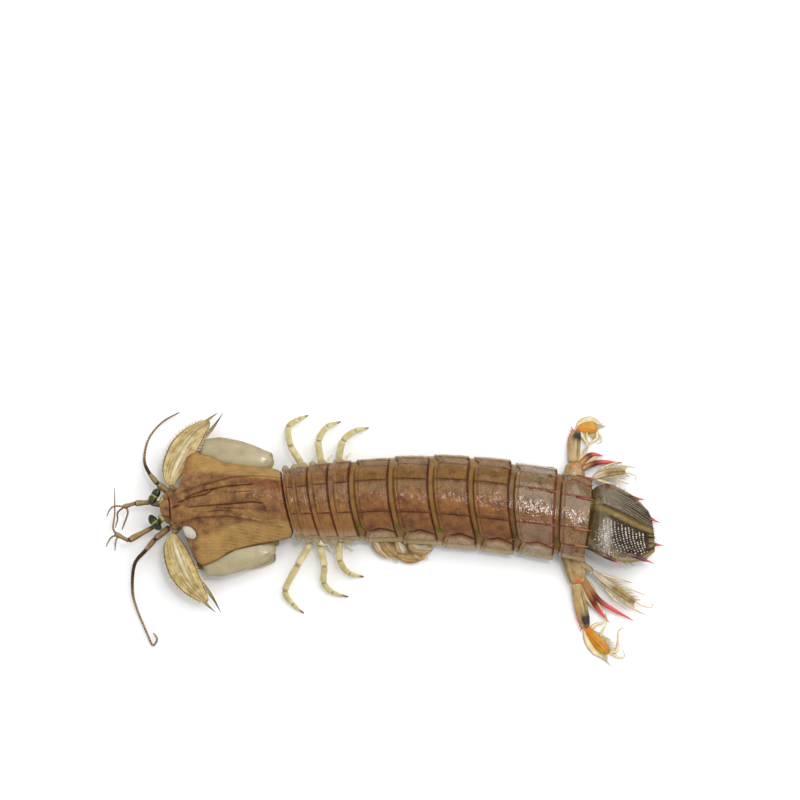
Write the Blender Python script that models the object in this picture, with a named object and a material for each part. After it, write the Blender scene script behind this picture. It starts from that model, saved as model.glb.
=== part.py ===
"""Life-size still model of a mantis shrimp, resting on its claws, swimmerets and tail fan.

The animal lies along X with its head toward -X and its tail fan toward +X. Its left side
faces -Y and the floor is z = 0. Sizes are in millimetres and become metres when a mesh is made.
"""

import math

import bmesh
import bpy
from mathutils import Matrix, Vector

MM = 0.001
GAP = 0.3            # clearance between neighbouring pieces
LEFT, RIGHT = -1, 1  # side of the body, as the sign of Y

# The body line, from the rostral plate to the tip of the tail: x, y and yaw in degrees.
BODY_LINE = (
    (-72.0, 8.6, 5.0),
    (-60.0, 9.2, 6.0),
    (-46.0, 10.1, 6.0),
    (-31.0, 10.8, 4.5),
    (-22.0, 11.3, 2.0),
    (-10.0, 12.0, 0.8),
    (2.0, 12.5, 0.0),
    (14.0, 12.3, -0.5),
    (26.5, 11.5, -1.0),
    (39.0, 10.1, -2.0),
    (52.0, 8.3, -3.5),
    (62.6, 6.5, -8.0),
    (90.0, 0.5, -10.0),
)

# Somites of the trunk: front x, rear x, half width, height of the back, of the lower edge, of the belly.
THORAX = {
    "thorax_5": (-29.9, -27.2, 10.9, 15.4, 6.6, 5.9),
    "thorax_6": (-27.2, -22.1, 11.3, 15.3, 6.4, 5.8),
    "thorax_7": (-22.1, -16.1, 11.9, 15.3, 6.2, 5.8),
    "thorax_8": (-16.1, -9.7, 12.3, 15.4, 6.0, 5.8),
}
ABDOMEN = {
    "abdomen_1": (-9.7, 2.2, 12.9, 16.0, 3.5, 6.3),
    "abdomen_2": (2.2, 14.4, 13.7, 16.5, 3.4, 6.3),
    "abdomen_3": (14.4, 26.5, 14.5, 16.8, 3.4, 6.4),
    "abdomen_4": (26.5, 38.7, 14.7, 16.5, 3.4, 6.3),
    "abdomen_5": (38.7, 51.9, 14.2, 15.4, 3.6, 6.0),
}
SIXTH = (51.9, 62.4, 13.1, 13.6, 5.6, 5.0)
COLLAR_DROP, COLLAR_INSET, COLLAR_LENGTH = 0.9, 0.6, 1.2

# Carinae of the back, as shares of the half width, and their height.
CARINAE = (0.37, 0.74, 0.91)
CARINA_HEIGHT = 0.35
SECTION_TOPS = 19    # points of a somite's section that lie on its back

# The tail plate: its own frame, size and the tips of its teeth along and across it.
TELSON_YAW, TELSON_PITCH, TELSON_ROLL, TELSON_SKEW = -11.0, 13.0, 15.0, 0.24
TELSON_FRONT = (63.1, 6.3, 7.4)
TELSON_HALF = ((0.0, 9.6), (2.5, 11.2), (6.0, 12.0), (10.0, 11.9), (14.0, 10.8), (17.0, 9.0), (20.0, 6.4))
TELSON_CREST = 4.6
TEETH = {"submedian": (15.5, 4.6, 23.7, 3.6, 1.5), "intermediate": (12.0, 9.2, 19.6, 10.2, 1.4),
         "lateral": (4.5, 11.0, 9.4, 12.9, 1.1)}

SHELL = (0.29, 0.16, 0.07, 1.0)
DARK_SHELL = (0.16, 0.08, 0.035, 1.0)
PALE = (0.62, 0.55, 0.28, 1.0)
KHAKI = (0.50, 0.40, 0.20, 1.0)
YELLOW = (0.70, 0.42, 0.10, 1.0)
EYE = (0.03, 0.06, 0.035, 1.0)
CREAM = (0.72, 0.62, 0.42, 1.0)


def clear_scene():
    for obj in list(bpy.data.objects):
        bpy.data.objects.remove(obj, do_unlink=True)


def material(name, colour, roughness):
    mat = bpy.data.materials.new(name)
    mat.use_nodes = True
    shader = mat.node_tree.nodes["Principled BSDF"]
    shader.inputs["Base Color"].default_value = colour
    shader.inputs["Roughness"].default_value = roughness
    shader.inputs["Metallic"].default_value = 0.0
    mat.diffuse_color = colour
    return mat


# Shapes


def lerp(a, b, t):
    return a + (b - a) * t


def table(rows, x, column=1):
    """Smooth value read from rows of (x, value, ...), eased between neighbouring rows."""
    if x <= rows[0][0]:
        return rows[0][column]
    for k in range(len(rows) - 1):
        x0, x1 = rows[k][0], rows[k + 1][0]
        if x <= x1:
            before = rows[max(k - 1, 0)]
            after = rows[min(k + 2, len(rows) - 1)]
            span = x1 - x0
            v0, v1 = rows[k][column], rows[k + 1][column]
            m0 = (v1 - before[column]) / max(x1 - before[0], 1e-6) * span
            m1 = (after[column] - v0) / max(after[0] - x0, 1e-6) * span
            t = (x - x0) / span
            return ((2 * t**3 - 3 * t**2 + 1) * v0 + (t**3 - 2 * t**2 + t) * m0
                    + (3 * t**2 - 2 * t**3) * v1 + (t**3 - t**2) * m1)
    return rows[-1][column]


def body(x):
    """Centre of the body line and its yaw in radians at x."""
    return table(BODY_LINE, x, 1), math.radians(table(BODY_LINE, x, 2))


def on_body(x, across, z, along=0.0):
    """World point beside the body line: across is toward the animal's right."""
    y, yaw = body(x)
    return Vector((x + along * math.cos(yaw) - across * math.sin(yaw),
                   y + along * math.sin(yaw) + across * math.cos(yaw), z))


def smooth(points, per_span=3):
    """Points of a smooth curve through the given points."""
    pts = [Vector(p) for p in points]
    if len(pts) < 3 or per_span < 2:
        return pts
    found = []
    for k in range(len(pts) - 1):
        p1, p2 = pts[k], pts[k + 1]
        p0 = pts[k - 1] if k else p1 * 2 - p2
        p3 = pts[k + 2] if k + 2 < len(pts) else p2 * 2 - p1
        for step in range(per_span):
            t = step / per_span
            found.append(0.5 * (2 * p1 + (p2 - p0) * t + (2 * p0 - 5 * p1 + 4 * p2 - p3) * t * t
                                + (3 * p1 - p0 - 3 * p2 + p3) * t**3))
    found.append(pts[-1])
    return found


def spread(values, count):
    """The given values drawn out evenly to count values."""
    found = []
    for k in range(count):
        t = k / (count - 1) * (len(values) - 1)
        i = min(int(t), len(values) - 2)
        found.append(lerp(values[i], values[i + 1], t - i))
    return found


def zip_cap(ring, tops, start, reverse):
    """End face of a warped section, as a strip of triangles between its upper and lower edges."""
    upper = list(range(tops))
    lower = [0] + list(range(len(ring) - 1, tops - 1, -1)) + [tops - 1]
    faces, i, j = [], 0, 0
    while i < len(upper) - 1 or j < len(lower) - 1:
        ahead_u = (ring[upper[i + 1]] - ring[0]).length if i < len(upper) - 1 else math.inf
        ahead_l = (ring[lower[j + 1]] - ring[0]).length if j < len(lower) - 1 else math.inf
        if ahead_u <= ahead_l:
            tri = (upper[i], lower[j], upper[i + 1])
            i += 1
        else:
            tri = (upper[i], lower[j], lower[j + 1])
            j += 1
        if len(set(tri)) == 3:
            faces.append(tuple(start + k for k in (tri[::-1] if reverse else tri)))
    return faces


def loft(rings, tops=0):
    """Closed body through rings with the same number of points; tops counts the upper ones of a section."""
    n = len(rings[0])
    verts = [Vector(p) for ring in rings for p in ring]
    faces = []
    for r in range(len(rings) - 1):
        a, b = r * n, (r + 1) * n
        for i in range(n):
            j = (i + 1) % n
            faces.append((a + i, a + j, b + j, b + i))
    last = (len(rings) - 1) * n
    if tops:
        faces += zip_cap(rings[0], tops, 0, False)
        faces += zip_cap(rings[-1], tops, last, True)
    else:
        faces.append(tuple(range(n))[::-1])
        faces.append(tuple(last + i for i in range(n)))
    return verts, faces


def directions(path):
    found = []
    for k in range(len(path)):
        a, b = path[max(k - 1, 0)], path[min(k + 1, len(path) - 1)]
        found.append((b - a).normalized())
    return found


def tube(points, radii, sides=7, flat=1.0, per_span=3, floor=True, start=None):
    """Round limb along a smooth curve; flat squeezes it from above."""
    path = smooth(points, per_span)
    radii = spread(radii, len(path))
    heading = directions(path)
    if start is not None:
        heading[0] = Vector(start).normalized()
    up = Vector((0, 0, 1)) if abs(heading[0].z) < 0.9 else Vector((1, 0, 0))
    across = heading[0].cross(up).normalized()
    rings = []
    for p, d, r in zip(path, heading, radii):
        across = (across - d * across.dot(d)).normalized()
        lift = across.cross(d).normalized()
        ring = []
        for i in range(sides):
            a = 2 * math.pi * (i + 0.5) / sides
            ring.append(p + across * (r * math.cos(a)) + lift * (r * flat * math.sin(a)))
        rings.append(ring)
    if floor:
        rings = [[Vector((q.x, q.y, max(q.z, 0.0))) for q in ring] for ring in rings]
    return loft(rings)


def spine(root, tip, radius, sides=5):
    """Tapering spine of about fifteen triangles, its root sunk in what it grows from."""
    return tube((Vector(root), Vector(tip)), (radius, radius * 0.12), sides, per_span=1, floor=False)


def blade(points, halves, thickness, up=(0, 0, 1), per_span=2, ribs=1, rise=1.0, floor=True):
    """Flat leaf along a curve, lens-shaped across, with ridges along it."""
    path = smooth(points, per_span)
    halves = spread(halves, len(path))
    heading = directions(path)
    rings = []
    for p, d, half in zip(path, heading, halves):
        side = d.cross(Vector(up)).normalized()
        lift = side.cross(d).normalized()
        ring = [p - side * half]
        steps = 2 * ribs + 2
        for i in range(1, steps):
            s = -1 + 2 * i / steps
            h = thickness * 0.5 * (1 - 0.45 * s * s) * (rise if i % 2 else 1.0)
            ring.append(p + side * (half * s) + lift * h)
        ring.append(p + side * half)
        for i in range(steps - 1, 0, -1):
            s = -1 + 2 * i / steps
            ring.append(p + side * (half * s) - lift * (thickness * 0.5 * (1 - 0.45 * s * s)))
        rings.append(ring)
    if floor:
        rings = [[Vector((q.x, q.y, max(q.z, 0.0))) for q in ring] for ring in rings]
    return loft(rings)


def lock(root, tip, width, thickness=0.6, droop=0.0):
    """Flat tapered lock of hairs, wide at its root."""
    root, tip = Vector(root), Vector(tip)
    along = (tip - root).normalized()
    side = along.cross(Vector((0, 0, 1))).normalized()
    rings = []
    for t, share in ((0.0, 1.0), (1.0, 0.25)):
        p = root.lerp(tip, t) - Vector((0, 0, droop * t * t))
        w, h = side * (width * 0.5 * share), Vector((0, 0, thickness * 0.5 * (1.0 - 0.55 * t)))
        rings.append([p - w - h, p + w - h, p + w + h, p - w + h])
    rings = [[Vector((q.x, q.y, max(q.z, 0.02))) for q in ring] for ring in rings]
    return loft(rings)


def dome(centre, facing, long_axis, a, b, depth, waist=0.0, base=0.62, sides=14, steps=5):
    """Rounded cap that grows from a flat base plane, pinched at its waist into two lobes."""
    centre, facing = Vector(centre), Vector(facing).normalized()
    long_axis = Vector(long_axis)
    long_axis = (long_axis - facing * long_axis.dot(facing)).normalized()
    short_axis = facing.cross(long_axis)
    first = math.asin(base) - math.pi / 2
    rings = []
    for k in range(steps):
        lat = lerp(first, math.radians(76), k / (steps - 1))
        ring = []
        for i in range(sides):
            t = 2 * math.pi * (i + 0.5) / sides
            pinch = 1 - waist * math.exp(-(math.cos(t) / 0.32) ** 2)
            reach = math.cos(lat) * pinch
            ring.append(centre + long_axis * (a * reach * math.cos(t))
                        + short_axis * (b * reach * math.sin(t)) + facing * (depth * math.sin(lat)))
        rings.append(ring)
    return loft(rings)


def arch(share, top, edge, p, q):
    return edge + (top - edge) * max(1 - abs(share) ** p, 0.0) ** q


def shell_ring(x, half, top, edge, belly, p=2.3, q=0.62, skew=0.0, roll=0.0, lift=1.0,
               hollow=0.84, lean=None):
    """Cross-section of a shelled somite: arched back with carinae, lower edges and belly."""
    inner, outer, side = CARINAE
    half_shares = [0.0, inner - 0.035, inner, inner + 0.035, outer - 0.035, outer, outer + 0.035, side,
                   (side + 1) / 2, 1.0]
    shares = [-s for s in reversed(half_shares[1:])] + half_shares
    points = []
    for s in shares:
        z = arch(s, top, edge, p, q)
        if abs(s) in CARINAE:
            z += CARINA_HEIGHT * lift
        points.append((half * s + skew * (1 - s * s), z, s))
    low = edge - 0.15
    points += [(half * 0.95, low, 0.95), (half * hollow, lerp(low, belly, 0.8), hollow),
               (half * 0.45, belly, 0.45), (-half * 0.45, belly, -0.45),
               (-half * hollow, lerp(low, belly, 0.8), -hollow), (-half * 0.95, low, -0.95)]
    turn, pivot = math.radians(roll), (top + edge) / 2
    ring = []
    for across, z, s in points:
        y = across * math.cos(turn) + (z - pivot) * math.sin(turn)
        z = pivot + (z - pivot) * math.cos(turn) - across * math.sin(turn)
        ring.append(on_body(x, y, z, lean(s) if lean else 0.0))
    return ring


def outward(verts, faces):
    """The body as a bmesh with triangles that face out."""
    bm = bmesh.new()
    made = [bm.verts.new(v * MM) for v in verts]
    for face in faces:
        bm.faces.new([made[i] for i in face])
    bmesh.ops.remove_doubles(bm, verts=bm.verts[:], dist=2e-6)
    bmesh.ops.triangulate(bm, faces=bm.faces[:], ngon_method="EAR_CLIP")
    bmesh.ops.recalc_face_normals(bm, faces=bm.faces[:])
    if bm.calc_volume(signed=True) < 0:
        bmesh.ops.reverse_faces(bm, faces=bm.faces[:])
    return bm


def as_object(name, verts, faces):
    bm = outward(verts, faces)
    mesh = bpy.data.meshes.new(name)
    bm.to_mesh(mesh)
    bm.free()
    obj = bpy.data.objects.new(name, mesh)
    bpy.context.scene.collection.objects.link(obj)
    return obj


def keep_largest(obj):
    """Keeps the largest closed surface, so that no sealed hollow or loose scrap stays."""
    bm = bmesh.new()
    bm.from_mesh(obj.data)
    bmesh.ops.triangulate(bm, faces=bm.faces[:])
    bmesh.ops.dissolve_degenerate(bm, edges=bm.edges[:], dist=1.5e-6)
    bmesh.ops.triangulate(bm, faces=bm.faces[:])
    bm.faces.ensure_lookup_table()
    left = set(bm.faces)
    shells = []
    while left:
        shell, queue = [], [left.pop()]
        while queue:
            face = queue.pop()
            shell.append(face)
            for edge in face.edges:
                for other in edge.link_faces:
                    if other in left:
                        left.remove(other)
                        queue.append(other)
        shells.append(shell)
    shells.sort(key=lambda shell: -sum(f.calc_area() for f in shell))
    for shell in shells[1:]:
        bmesh.ops.delete(bm, geom=shell, context="FACES")
    bmesh.ops.delete(bm, geom=[v for v in bm.verts if not v.link_faces], context="VERTS")
    bm.to_mesh(obj.data)
    bm.free()


def node(name, mat, pieces, solver="EXACT"):
    """One closed body made by fusing its pieces; the first piece is the one the rest grow from."""
    base = as_object(name, *pieces[0])
    if len(pieces) > 1:
        grown = bpy.data.collections.new(name + "_grown")
        bpy.context.scene.collection.children.link(grown)
        for k, piece in enumerate(pieces[1:]):
            extra = as_object(f"{name}_grown_{k}", *piece)
            bpy.context.scene.collection.objects.unlink(extra)
            grown.objects.link(extra)
        join = base.modifiers.new("fuse", "BOOLEAN")
        join.operation = "UNION"
        join.operand_type = "COLLECTION"
        join.collection = grown
        join.solver = solver
        bpy.context.view_layer.objects.active = base
        bpy.ops.object.modifier_apply(modifier=join.name)
        for extra in list(grown.objects):
            bpy.data.objects.remove(extra, do_unlink=True)
        bpy.data.collections.remove(grown)
        keep_largest(base)
    base.data.materials.clear()
    base.data.materials.append(mat)
    for face in base.data.polygons:
        face.use_smooth = True
    base.data.set_sharp_from_angle(angle=math.radians(35))
    return base


# Trunk


def somite_rings(sizes, rolls=(0.0, 0.0), lean=None, p=2.3, q=0.62, hollow=0.84):
    """Front collar, the tergite over it and the raised rear rim of one somite."""
    x0, x1, half, top, edge, belly = sizes
    x0, x1 = x0 + GAP / 2, x1 - GAP / 2
    length = x1 - x0
    collar = min(COLLAR_LENGTH, length * 0.3)
    steps = ((0.0, COLLAR_INSET, COLLAR_DROP, 0.0), (collar, COLLAR_INSET, COLLAR_DROP, 0.0),
             (collar + 0.35, 0.15, 0.15, 0.8), (length - 0.7, 0.0, -0.05, 1.0), (length, -0.2, -0.3, 1.5))
    rings = []
    for k, (at, inset, drop, lift) in enumerate(steps):
        rings.append(shell_ring(x0 + at, half - inset, top - drop, edge + max(inset, 0) * 0.4, belly, p, q,
                                roll=lerp(rolls[0], rolls[1], at / length), lift=lift, hollow=hollow,
                                lean=(lambda s, w=1 - at / length: lean(s) * w) if lean else None))
    return rings


def rear_edge(s):
    """How far the corners of the carapace's rear edge run back past its middle."""
    return 1.1 * s * s


def thorax(mat):
    for name, sizes in THORAX.items():
        x0, x1, half, top, edge, belly = sizes
        pieces = [loft(somite_rings(sizes, lean=rear_edge if name == "thorax_5" else None, hollow=0.8), SECTION_TOPS)]
        middle = (x0 + x1) / 2
        for side in (LEFT, RIGHT):
            if name == "thorax_5":
                pieces.append(spine(on_body(middle + 0.3, side * (half - 1.8), edge + 0.7),
                                    on_body(middle - 0.9, side * (half + 1.5), edge - 0.4), 0.75))
            elif name == "thorax_8":
                pieces.append(spine(on_body(middle - 0.2, side * (half - 1.8), edge + 0.7),
                                    on_body(middle + 0.6, side * (half + 1.2), edge - 0.3), 1.3))
            else:
                pieces.append(spine(on_body(middle - 0.9, side * (half - 1.8), edge + 0.8),
                                    on_body(middle - 1.4, side * (half + 1.3), edge - 0.3), 0.8))
                pieces.append(spine(on_body(middle + 1.0, side * (half - 1.8), edge + 0.8),
                                    on_body(middle + 1.4, side * (half + 1.9), edge - 0.3), 1.0))
        node(name, mat, pieces)


def abdomen(mat):
    for name, sizes in ABDOMEN.items():
        x0, x1, half, top, edge, belly = sizes
        rolls = (0.0, 3.0) if name == "abdomen_5" else (0.0, 0.0)
        pieces = [loft(somite_rings(sizes, rolls), SECTION_TOPS)]
        if name in ("abdomen_4", "abdomen_5"):
            shares = (0.74,) if name == "abdomen_4" else (0.37, 0.74)
            for share in shares:
                for side in (LEFT, RIGHT):
                    z = arch(share, top, edge, 2.3, 0.62)
                    pieces.append(spine(on_body(x1 - 2.2, side * share * half, z - 0.25),
                                        on_body(x1 + 0.7, side * share * half, z + 0.75), 0.5))
        for side in (LEFT, RIGHT):
            pieces.append(spine(on_body(x1 - 2.4, side * (half - 0.55), edge + 0.55),
                                on_body(x1 - 0.1, side * (half + 0.15), edge - 0.25), 0.5))
        node(name, mat, pieces)
    x0, x1, half, top, edge, belly = SIXTH
    pieces = [loft(somite_rings(SIXTH, (3.0, 8.0), p=2.2, q=0.7, hollow=0.8), SECTION_TOPS)]
    for share, reach in ((0.37, 2.0), (0.74, 1.8), (0.93, 1.2)):
        for side in (LEFT, RIGHT):
            z = arch(share, top, edge, 2.2, 0.7) - side * share * half * math.sin(math.radians(7.5))
            pieces.append(spine(on_body(x1 - 3.4, side * share * half, z - 0.3),
                                on_body(x1 + reach, side * share * half * 1.0, z + 0.9), 0.85))
    node("abdomen_6", mat, pieces)


# Carapace and head

# Carapace stations: x of the middle, half width, height of the back, of the wing edge, crest shift,
# and how far the wing's front corner reaches ahead.
CARAPACE = (
    (-54.6, 15.9, 13.9, 8.0, 1.5, 6.6),
    (-52.6, 15.2, 14.2, 8.0, 1.9, 3.4),
    (-49.5, 14.1, 14.7, 8.0, 2.2, 1.2),
    (-45.0, 12.9, 15.2, 8.0, 2.2, 0.0),
    (-40.0, 12.0, 15.7, 7.9, 1.7, 0.0),
    (-34.5, 11.3, 16.0, 7.8, 1.0, 0.0),
    (-30.35, 10.6, 15.9, 7.9, 0.5, 0.0),
)
WING_FRONT = ((0.42, 0.0), (0.52, 0.55), (0.64, 1.0), (0.8, 0.8), (1.0, 0.3))
TONGUE = ((-66.0, 3.6, 11.7, 10.1, 0.3), (-64.2, 5.2, 12.2, 9.9, 0.7), (-61.0, 6.4, 12.9, 9.8, 1.1),
          (-57.5, 7.0, 13.5, 9.8, 1.4), (-54.0, 7.6, 13.95, 9.9, 1.5))


def carapace(mat):
    grooves = (0.19, 0.43, 0.70)
    rings = []
    for k, (x, half, top, edge, skew, ahead) in enumerate(CARAPACE):
        shares = [-1.0, -0.88, -0.74, -0.70, -0.66, -0.54, -0.46, -0.43, -0.40, -0.23, -0.19, -0.15, 0.0]
        shares += [-s for s in reversed(shares[:-1])]
        points = []
        for s in shares:
            z = arch(s, top, edge, 1.75, 0.95)
            if abs(s) == 0.19:
                z -= 0.45
            if abs(s) in (0.43, 0.70):
                z += 0.4
            points.append((half * s + skew * (1 - s * s), z, s))
        points += [(half * 0.965, edge - 0.55, 0.965), (half * 0.8, arch(0.8, top, edge, 1.75, 0.95) - 1.7, 0.8),
                   (half * 0.66, 8.2, 0.66), (half * 0.42, 6.1, 0.42), (0, 5.9, 0.0)]
        points += [(-a, z, -s) for a, z, s in reversed(points[-5:-1])]
        last = k == len(CARAPACE) - 1
        ring = []
        for across, z, s in points:
            along = -ahead * table(WING_FRONT, abs(s)) if abs(s) > 0.42 else 0.0
            if last:
                along += rear_edge(s)
            ring.append(on_body(x, across, z, along))
        rings.append(ring)
    pieces = [loft(rings, 25)]
    rings = []
    for x, half, top, edge, skew in TONGUE:
        shares = [-1.0, -0.85, -0.6, -0.35, -0.31, -0.27, -0.12, 0.0]
        shares += [-s for s in reversed(shares[:-1])]
        ring = []
        for s in shares:
            z = arch(s, top, edge, 1.9, 0.9) - (0.35 if abs(s) == 0.31 else 0.0)
            ring.append(on_body(x, half * s + skew * (1 - s * s), z))
        for s in (0.93, 0.5, 0.0, -0.5, -0.93):
            ring.append(on_body(x, half * s + skew * (1 - s * s),
                                arch(s, top, edge, 1.9, 0.9) - (0.8 if abs(s) > 0.9 else 1.15)))
        rings.append(ring)
    pieces.append(loft(rings))
    for side in (LEFT, RIGHT):
        pieces.append(spine(on_body(-63.2, side * 4.9 + 0.8, 10.2), on_body(-66.5, side * 6.2 + 0.4, 9.6), 0.7))
    node("carapace", mat, pieces)


def rostral_plate(mat):
    rings = []
    for x, half, z in ((-69.1, 1.3, 11.15), (-68.6, 2.0, 11.3), (-67.6, 2.5, 11.5), (-66.35, 2.6, 11.65)):
        ring = [on_body(x, half * s + 0.2, z + 0.25 * (1 - s * s)) for s in (-1, -0.5, 0, 0.5, 1)]
        ring += [on_body(x, half * s + 0.2, z - 0.75) for s in (0.9, 0, -0.9)]
        rings.append(ring)
    node("rostral_plate", mat, [loft(rings)])


def head(mat):
    rings = []
    for x, half, top, low in ((-67.3, 2.9, 9.6, 5.5), (-66.2, 3.7, 9.7, 5.2), (-63.0, 4.6, 10.0, 4.9),
                              (-59.0, 5.0, 10.9, 4.6), (-55.1, 5.0, 11.2, 4.6)):
        ring = []
        for i in range(16):
            a = 2 * math.pi * i / 16
            c, s = math.cos(a), math.sin(a)
            z = lerp(low, top, 0.5 + 0.5 * math.copysign(abs(s) ** 0.85, s))
            ring.append(on_body(x, half * math.copysign(abs(c) ** 0.8, c) + 0.4, z))
        rings.append(ring)
    pieces = [loft(rings)]
    labrum = [on_body(-61.2, 0.3, 5.1), on_body(-59.2, 0.3, 4.5), on_body(-57.4, 0.3, 4.6)]
    pieces.append(tube(labrum, (0.9, 1.4, 1.0), 8, 0.8, 2))
    for side in (LEFT, RIGHT):
        jaw = [on_body(-58.6, side * 3.3 + 0.3, 5.2), on_body(-57.3, side * 2.5 + 0.3, 4.5),
               on_body(-56.5, side * 1.5 + 0.3, 4.3)]
        pieces.append(tube(jaw, (1.1, 1.0, 0.55), 6, 1.0, 2))
    node("head", mat, pieces)


# Eyes: start of the stalk, centre of the cornea and direction of the cornea's long axis.
EYES = {LEFT: ((-67.9, 7.0, 8.75), (-70.7, 4.8, 9.4), (-0.84, 0.54, 0.1)),
        RIGHT: ((-67.9, 10.9, 8.75), (-71.0, 12.7, 9.4), (-0.88, -0.48, 0.1))}
EYE_LONG, EYE_SHORT = 2.9, 1.75


def eyes(stalk_mat, eye_mat):
    for side, label in ((LEFT, "L"), (RIGHT, "R")):
        start, centre, long_axis = (Vector(v) for v in EYES[side])
        facing = (centre - start).normalized()
        end = centre - facing * (1.5 + GAP)
        node(f"eyestalk_{label}", stalk_mat,
             [tube((start, start.lerp(end, 0.5), end), (1.0, 1.15, 1.4), 10, 1.0, 2, start=(-1, 0, 0))])
        node(f"eye_{label}", eye_mat,
             [dome(centre, facing, long_axis, EYE_LONG, EYE_SHORT, 1.75, waist=0.2, base=0.52)])


ANTENNULE = {
    LEFT: ((-67.9, 7.3, 6.4), (-71.8, 3.6, 6.6), (-79.2, -0.6, 7.2), (-83.4, 1.6, 7.4)),
    RIGHT: ((-67.9, 10.3, 6.5), (-72.7, 11.3, 6.8), (-77.5, 10.9, 7.2), (-81.0, 9.8, 7.4)),
}
ANTENNULE_WHIPS = {
    LEFT: (((-83.0, 1.4, 7.4), (-84.0, 3.4, 7.2), (-83.8, 8.0, 6.0), (-84.3, 16.1, 4.2)),
           ((-82.6, 1.1, 7.3), (-84.6, 0.3, 7.0), (-86.2, -2.4, 6.2)),
           ((-82.2, 0.9, 7.4), (-83.0, -0.8, 7.6), (-83.2, -3.8, 7.4))),
    RIGHT: (((-80.2, 9.9, 7.4), (-79.6, 8.0, 7.0), (-81.0, 4.8, 4.6), (-81.7, 3.0, 4.0)),
            ((-80.6, 9.9, 7.3), (-82.9, 8.3, 5.6), (-83.2, 6.2, 3.8), (-84.0, 3.7, 3.0)),
            ((-80.6, 9.9, 7.4), (-83.4, 9.9, 8.4), (-84.9, 9.0, 8.2), (-86.1, 6.9, 6.9))),
}


def antennules(mat):
    for side, label in ((LEFT, "L"), (RIGHT, "R")):
        root, first, second, third = (Vector(p) for p in ANTENNULE[side])
        pieces = []
        for a, b, r0, r1 in ((root, first, 0.95, 1.0), (first, second, 0.8, 0.95), (second, third, 0.65, 0.75)):
            back = (a - b).normalized() * (0.4 if pieces else 0.0)
            pieces.append(tube((a + back, a.lerp(b, 0.15), a.lerp(b, 0.8), b), (r0 * 0.85, r0, r1, r1 * 0.9), 7, 1.0, 1,
                               start=(-1, 0, 0) if not pieces else None))
        for whip in ANTENNULE_WHIPS[side]:
            pieces.append(tube(whip, (0.34, 0.3, 0.27, 0.12), 4, 1.0, 2))
        node(f"antennule_{label}", mat, pieces)


ANTENNA = {
    LEFT: ((-66.6, 3.6, 6.9), (-71.2, 0.2, 5.2), (-74.2, -3.4, 4.6), (-77.6, -7.6, 3.6), (-78.3, -15.1, 1.9),
           (-77.0, -20.8, 1.2), (-73.5, -28.9, 0.7), (-71.8, -32.2, 0.6), (-70.5, -30.4, 0.6), (-71.7, -28.4, 0.6)),
    RIGHT: ((-66.9, 14.2, 6.9), (-70.6, 17.0, 6.2), (-73.4, 20.4, 5.4), (-75.3, 25.0, 4.0), (-74.3, 31.8, 2.4),
            (-70.4, 37.2, 1.2), (-65.0, 40.6, 0.6)),
}
SCALE = {
    LEFT: ((-65.7, 1.6, 8.2), (-64.9, -3.2, 8.1), (-62.7, -9.0, 7.7), (-60.1, -13.4, 6.9), (-57.2, -16.8, 5.9),
           (-54.8, -19.2, 4.9)),
    RIGHT: ((-66.9, 16.3, 8.2), (-65.8, 21.3, 8.1), (-63.3, 27.0, 7.7), (-60.5, 31.4, 6.9), (-57.6, 34.7, 5.9),
            (-55.2, 37.0, 4.9)),
}
SCALE_HALF = (1.1, 3.4, 4.2, 3.6, 2.2, 1.0)


def antennae(mat, scale_mat):
    for side, label in ((LEFT, "L"), (RIGHT, "R")):
        path = ANTENNA[side]
        pieces = [tube((path[0], path[1], path[2]), (1.0, 0.95, 0.75), 8, 1.0, 2)]
        pieces.append(tube(path[1:], (0.62, 0.5, 0.42, 0.36, 0.32, 0.3, 0.28, 0.15), 5, 1.0, 3))
        node(f"antenna_{label}", mat, pieces)
        leaf = SCALE[side]
        pieces = [blade(leaf, SCALE_HALF, 0.8, per_span=1, ribs=1, rise=1.5)]
        end = Vector(leaf[-1])
        run = (end - Vector(leaf[-3])).normalized()
        out = Vector((run.y, -run.x, 0)) * -side
        for share, reach, width in ((-1.0, 4.6, 0.9), (-0.3, 3.2, 1.1), (0.45, 4.4, 1.0)):
            root = end - run * 1.2 + out * share * 0.9
            pieces.append(lock(root, end + run * reach + out * share * 1.5 - Vector((0, 0, 1.2)), width, 0.55))
        node(f"antennal_scale_{label}", scale_mat, pieces)


# Claws and mouth limbs

# Claw of each side: hip under the carapace, knee in front, and the rear end of the folded palm.
CLAW = {
    LEFT: {"hip": (-36.4, 2.6, 5.5), "arm": ((-35.2, -0.4, 4.9), (-38.0, -3.3, 5.6), (-44.5, -5.2, 5.8),
                                             (-51.0, -6.7, 5.5), (-56.6, -7.6, 4.9)),
           "knee": (-58.6, -7.9, 4.0), "palm_end": (-34.2, -4.4)},
    RIGHT: {"hip": (-37.0, 18.6, 5.5), "arm": ((-35.9, 21.4, 4.9), (-38.9, 24.1, 5.6), (-45.6, 25.9, 5.8),
                                              (-52.3, 27.0, 5.5), (-58.2, 27.3, 4.9)),
            "knee": (-60.2, 27.3, 4.0), "palm_end": (-35.4, 25.2)},
}
ARM_HALF = (2.4, 3.7, 4.7, 4.9, 3.6)
ARM_THICK = (0.9, 1.35, 1.6, 1.6, 1.2)
PALM_HEIGHT = 1.33   # low enough that the underside of the palm lies flat on the floor


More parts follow.
